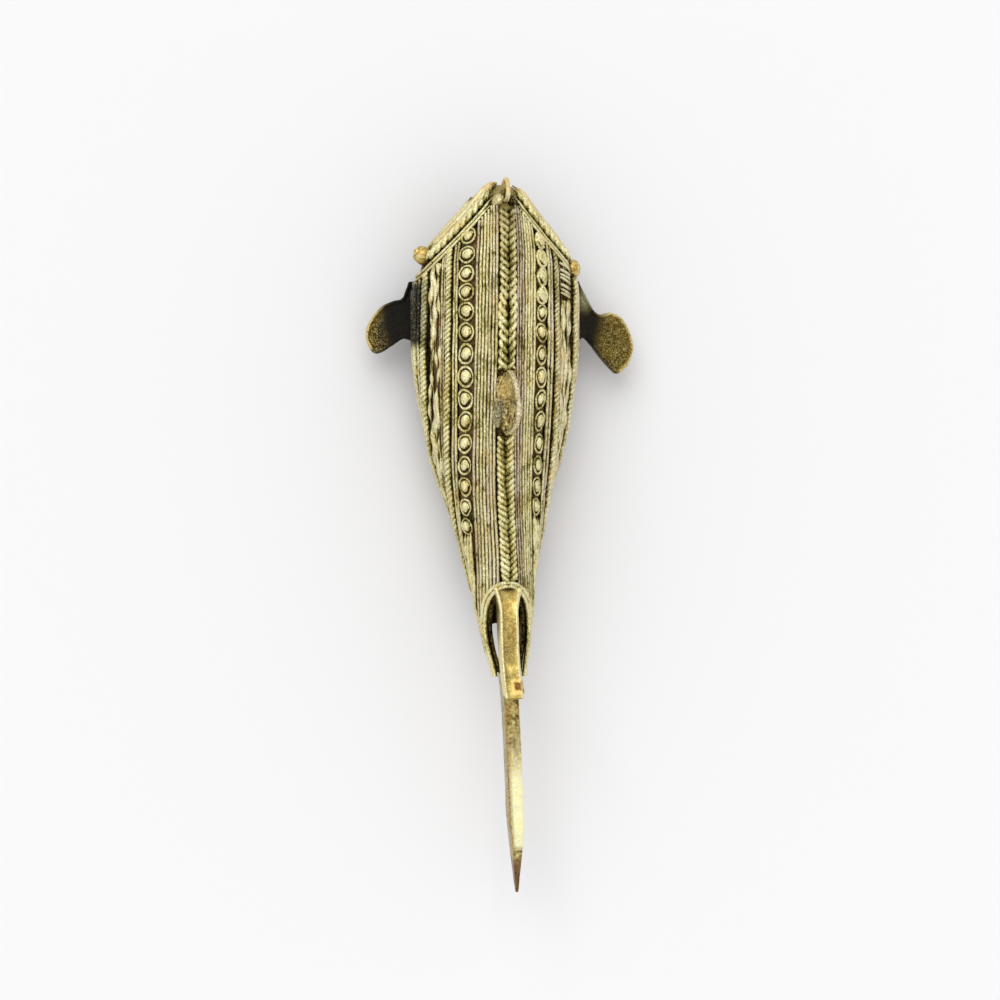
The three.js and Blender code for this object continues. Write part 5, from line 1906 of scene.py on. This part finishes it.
# its flat top has low raised edges, and a square of red-brown scale near its end
fromTop = distanceToLine(points[:, 1:], [tuple(p) for p in ribTop])
topped = np.clip(1.6 - fromTop / 0.5, 0, 1)
edgeOn = np.clip(1 - (1 - np.abs(across)) * tailLook["ribThickness"] / 2 / tailLook["edgeWidth"], 0, 1)
points[:, 2] += tailLook["edgeRise"] * topped * np.sin(math.pi * edgeOn)
writePoints(piece, points)
scale = {"y": -69.4, "across": 0.5, "halfLength": 1.2, "halfWidth": 0.45}
fromScale = np.maximum(
    np.abs(points[:, 1] - scale["y"]) / scale["halfLength"],
    np.abs(across - scale["across"]) / scale["halfWidth"],
)
scaled, glow = (np.clip(2.2 - fall * fromScale, 0, 1) for fall in (2, 1.2))
# the left side face is painted pale, as light falling on it
litLeftFace = np.clip(-8 * across - 6.6, 0, 1) * np.interp(points[:, 1], (-72, -60, -50), (1, 0.9, 0.3))
setAttribute(piece.data, "pale", np.maximum(topped * np.clip(1.3 * edgeOn, 0, 1), litLeftFace))
setAttribute(piece.data, "glow", 0.7 * topped * glow * (1 - scaled))
setAttribute(piece.data, "scale", topped * scaled)
keep(grow(piece, castTree, {**tailLook, **upperLobe}, seed=91), "tail_upper_lobe")

gap = laid["seatGap"]
under = quadratic((archY, ribRootZ - gap), (ribMid[0], ribMidUnder - gap), (ribHeelY, ribEndZ - gap), 30)
topZ, bottomZ = lowerLobe["topZ"], lowerLobe["bottomZ"]
forkEnd, lobeTop, taperEnd = (fork["y"], fork["z"]), (lowerLobe["y"], topZ), (tailTip["taperFrom"], bottomZ)
notchEnd = (tailNotch["y"] - tailNotch["width"], topZ - tailNotch["depth"])
tipTop, tipFoot = ((tailTip["y"], tailTip["z"] + way * tailTip["half"]) for way in (1, -1))
plateOutline = joinedCurves(
    [p for p in under if p[0] < web["topY"]],
    quadratic(under[-1], (fork["y"], fork["z"] + fork["throat"]), forkEnd, 12),
    quadratic(forkEnd, (fork["y"] - fork["hollow"], topZ), lobeTop, 12),
    [lobeTop, (tailNotch["y"], topZ), notchEnd],
    quadratic(notchEnd, (tailNotch["y"] - tailNotch["run"], tailTip["z"] + tailNotch["rise"]), tipTop, 14),
    [tipTop, tipFoot],
    quadratic(tipFoot, (tailNotch["y"], bottomZ), taperEnd, 14),
    [taperEnd, (lowerLobe["y"], bottomZ), (web["frontY"], web["footZ"])],
)
piece, points, across = tailPiece(
    "tailPlate", plateOutline, tailLook["plateThickness"], plateShare, lambda y: np.zeros(len(y)),
)
fromTop = lowerLobe["topZ"] - points[:, 2]
rough = np.clip(1.1 - (across + 1) * 1.6, 0, 1) * (points[:, 1] < lowerLobe["y"] + 6)
# polish and a painted highlight along the lobe's top edge
wornAndLit = np.clip(1.4 - fromTop / 2.5, 0, 1) * np.interp(
    points[:, 1], (-111.5, -109.8, -94, -90, -84, -76), (0, 1, 1.1, 0.6, 0.15, 0.0),
)
setAttribute(piece.data, "pale", wornAndLit * (1 - rough))
setAttribute(piece.data, "rough", 0.85 * rough)
setAttribute(piece.data, "sootAndShade", np.interp(points[:, 1], (-115, -112.3), (0.85, 0)))
keep(grow(piece, castTree, tailLook, seed=92), "tail_plate")

# Rim: two threads side by side round the edge of the top opening
rimLook = {**threadLook, "radius": 0.58, "wander": 0.3, "tracks": (0.45, 1.35), "lift": 0.5}


def rimLine(grown):
    line = cutLine(topCut, grown, rimFollow["count"])
    halves = [
        (y, arcAtHeight(y, z)) for y, z in line if z <= float(stationAt("back", y)) - rimFollow["skim"]
    ]
    top = halves[0][0]
    crown = [(top + 0.05, arc) for arc in np.linspace(0, halves[0][1], 6)[:-1]]
    half = crown + halves
    track = [(1, y, arc) for y, arc in reversed(half)] + [(-1, y, arc) for y, arc in half[1:]]
    return np.array([skinPoint(s, y, arc, laid["seatGap"] + rimLook["lift"]) for s, y, arc in track])


rimLines = []
for grown in rimLook["tracks"]:
    points = rimLine(grown)
    for _ in range(4):
        points[1:-1] = (points[:-2] + 2 * points[1:-1] + points[2:]) / 4
    lengths = walked(points)
    even = np.linspace(0, lengths[-1], int(lengths[-1] / 0.5))
    points = np.stack([np.interp(even, lengths, points[:, k]) for k in range(3)], axis=1)
    rimLines.append({"points": points})
lay("tailRim", "tail_rim", rimLines, wireTree, rimLook, seed=93)
print("tail made")

for spare in (wallSkin, coil, leaf):
    bpy.data.objects.remove(spare)

# Camera: above the back and a little to the fish's left, as in the photograph
cameraLook = {"tilt": 7.5, "distance": 1.4, "target": (-0.6, -23.3, 28.0), "frame": 249.0}
tilt = math.radians(cameraLook["tilt"])
back = Vector((-math.sin(tilt), 0, math.cos(tilt)))
target = Vector(toFrame(cameraLook["target"]))
camera = bpy.data.objects.new("camera", bpy.data.cameras.new("camera"))
camera.data.sensor_width = 36
camera.data.lens = 36 * cameraLook["distance"] / (cameraLook["frame"] / 1000)
camera.matrix_world = Matrix.Translation(target + back * cameraLook["distance"]) @ Matrix((
    (math.cos(tilt), 0, -math.sin(tilt), 0),
    (0, 1, 0, 0),
    (math.sin(tilt), 0, math.cos(tilt), 0),
    (0, 0, 0, 1),
))
bpy.context.scene.collection.objects.link(camera)
bpy.context.scene.camera = camera

# Floor and light
studio = {
    "paper": "f9f9fa",
    "ambient": 0.76,
    "key": 1.05,
    "keyFrom": (-0.35, 0.9, 1.1),
    "keySoftness": 50,
}
floorMesh = meshOf("floor", [(-3, -3, 0), (3, -3, 0), (3, 3, 0), (-3, 3, 0)], [(0, 1, 2, 3)])
floor = newObject("floor", floorMesh)
floorMaterial = bpy.data.materials.new("palePaper")
floorMaterial.use_nodes = True
floorShader = floorMaterial.node_tree.nodes["Principled BSDF"]
floorShader.inputs["Base Color"].default_value = linear(studio["paper"])
floorShader.inputs["Roughness"].default_value = 0.9
floorShader.inputs["Specular IOR Level"].default_value = 0.0
floorMesh.materials.append(floorMaterial)

# the world lights softly, while the camera and the metal's reflections see plain paper round the fish
world = bpy.data.worlds.new("studio")
bpy.context.scene.world = world
world.use_nodes = True
worldTree = world.node_tree
cameraRay, glossyRay, throughRay = (
    addNode(worldTree, "ShaderNodeLightPath", take=f"Is {kind} Ray")
    for kind in ("Camera", "Glossy", "Transmission")
)
backdrop = addNode(worldTree, "ShaderNodeBackground", {"Color": linear(studio["paper"]), "Strength": 1.0})
ambient = worldTree.nodes["Background"]
ambient.inputs["Color"].default_value = linear("ffffff")
ambient.inputs["Strength"].default_value = studio["ambient"]
mirrored = addNode(worldTree, "ShaderNodeMath", {0: glossyRay, 1: throughRay}, operation="MAXIMUM")
seenBy = addNode(worldTree, "ShaderNodeMath", {0: cameraRay, 1: mirrored}, operation="MAXIMUM")
seen = addNode(worldTree, "ShaderNodeMixShader", {0: seenBy, 1: ambient.outputs[0], 2: backdrop})
worldTree.links.new(seen, worldTree.nodes["World Output"].inputs["Surface"])

keyLamp = bpy.data.objects.new("keyLamp", bpy.data.lights.new("keyLamp", "SUN"))
keyLamp.data.energy = studio["key"]
keyLamp.data.angle = math.radians(studio["keySoftness"])
keyLamp.rotation_euler = Vector(studio["keyFrom"]).to_track_quat("Z", "Y").to_euler()
bpy.context.scene.collection.objects.link(keyLamp)
bpy.context.scene.view_settings.view_transform = "Standard"
print("camera, floor and light set")
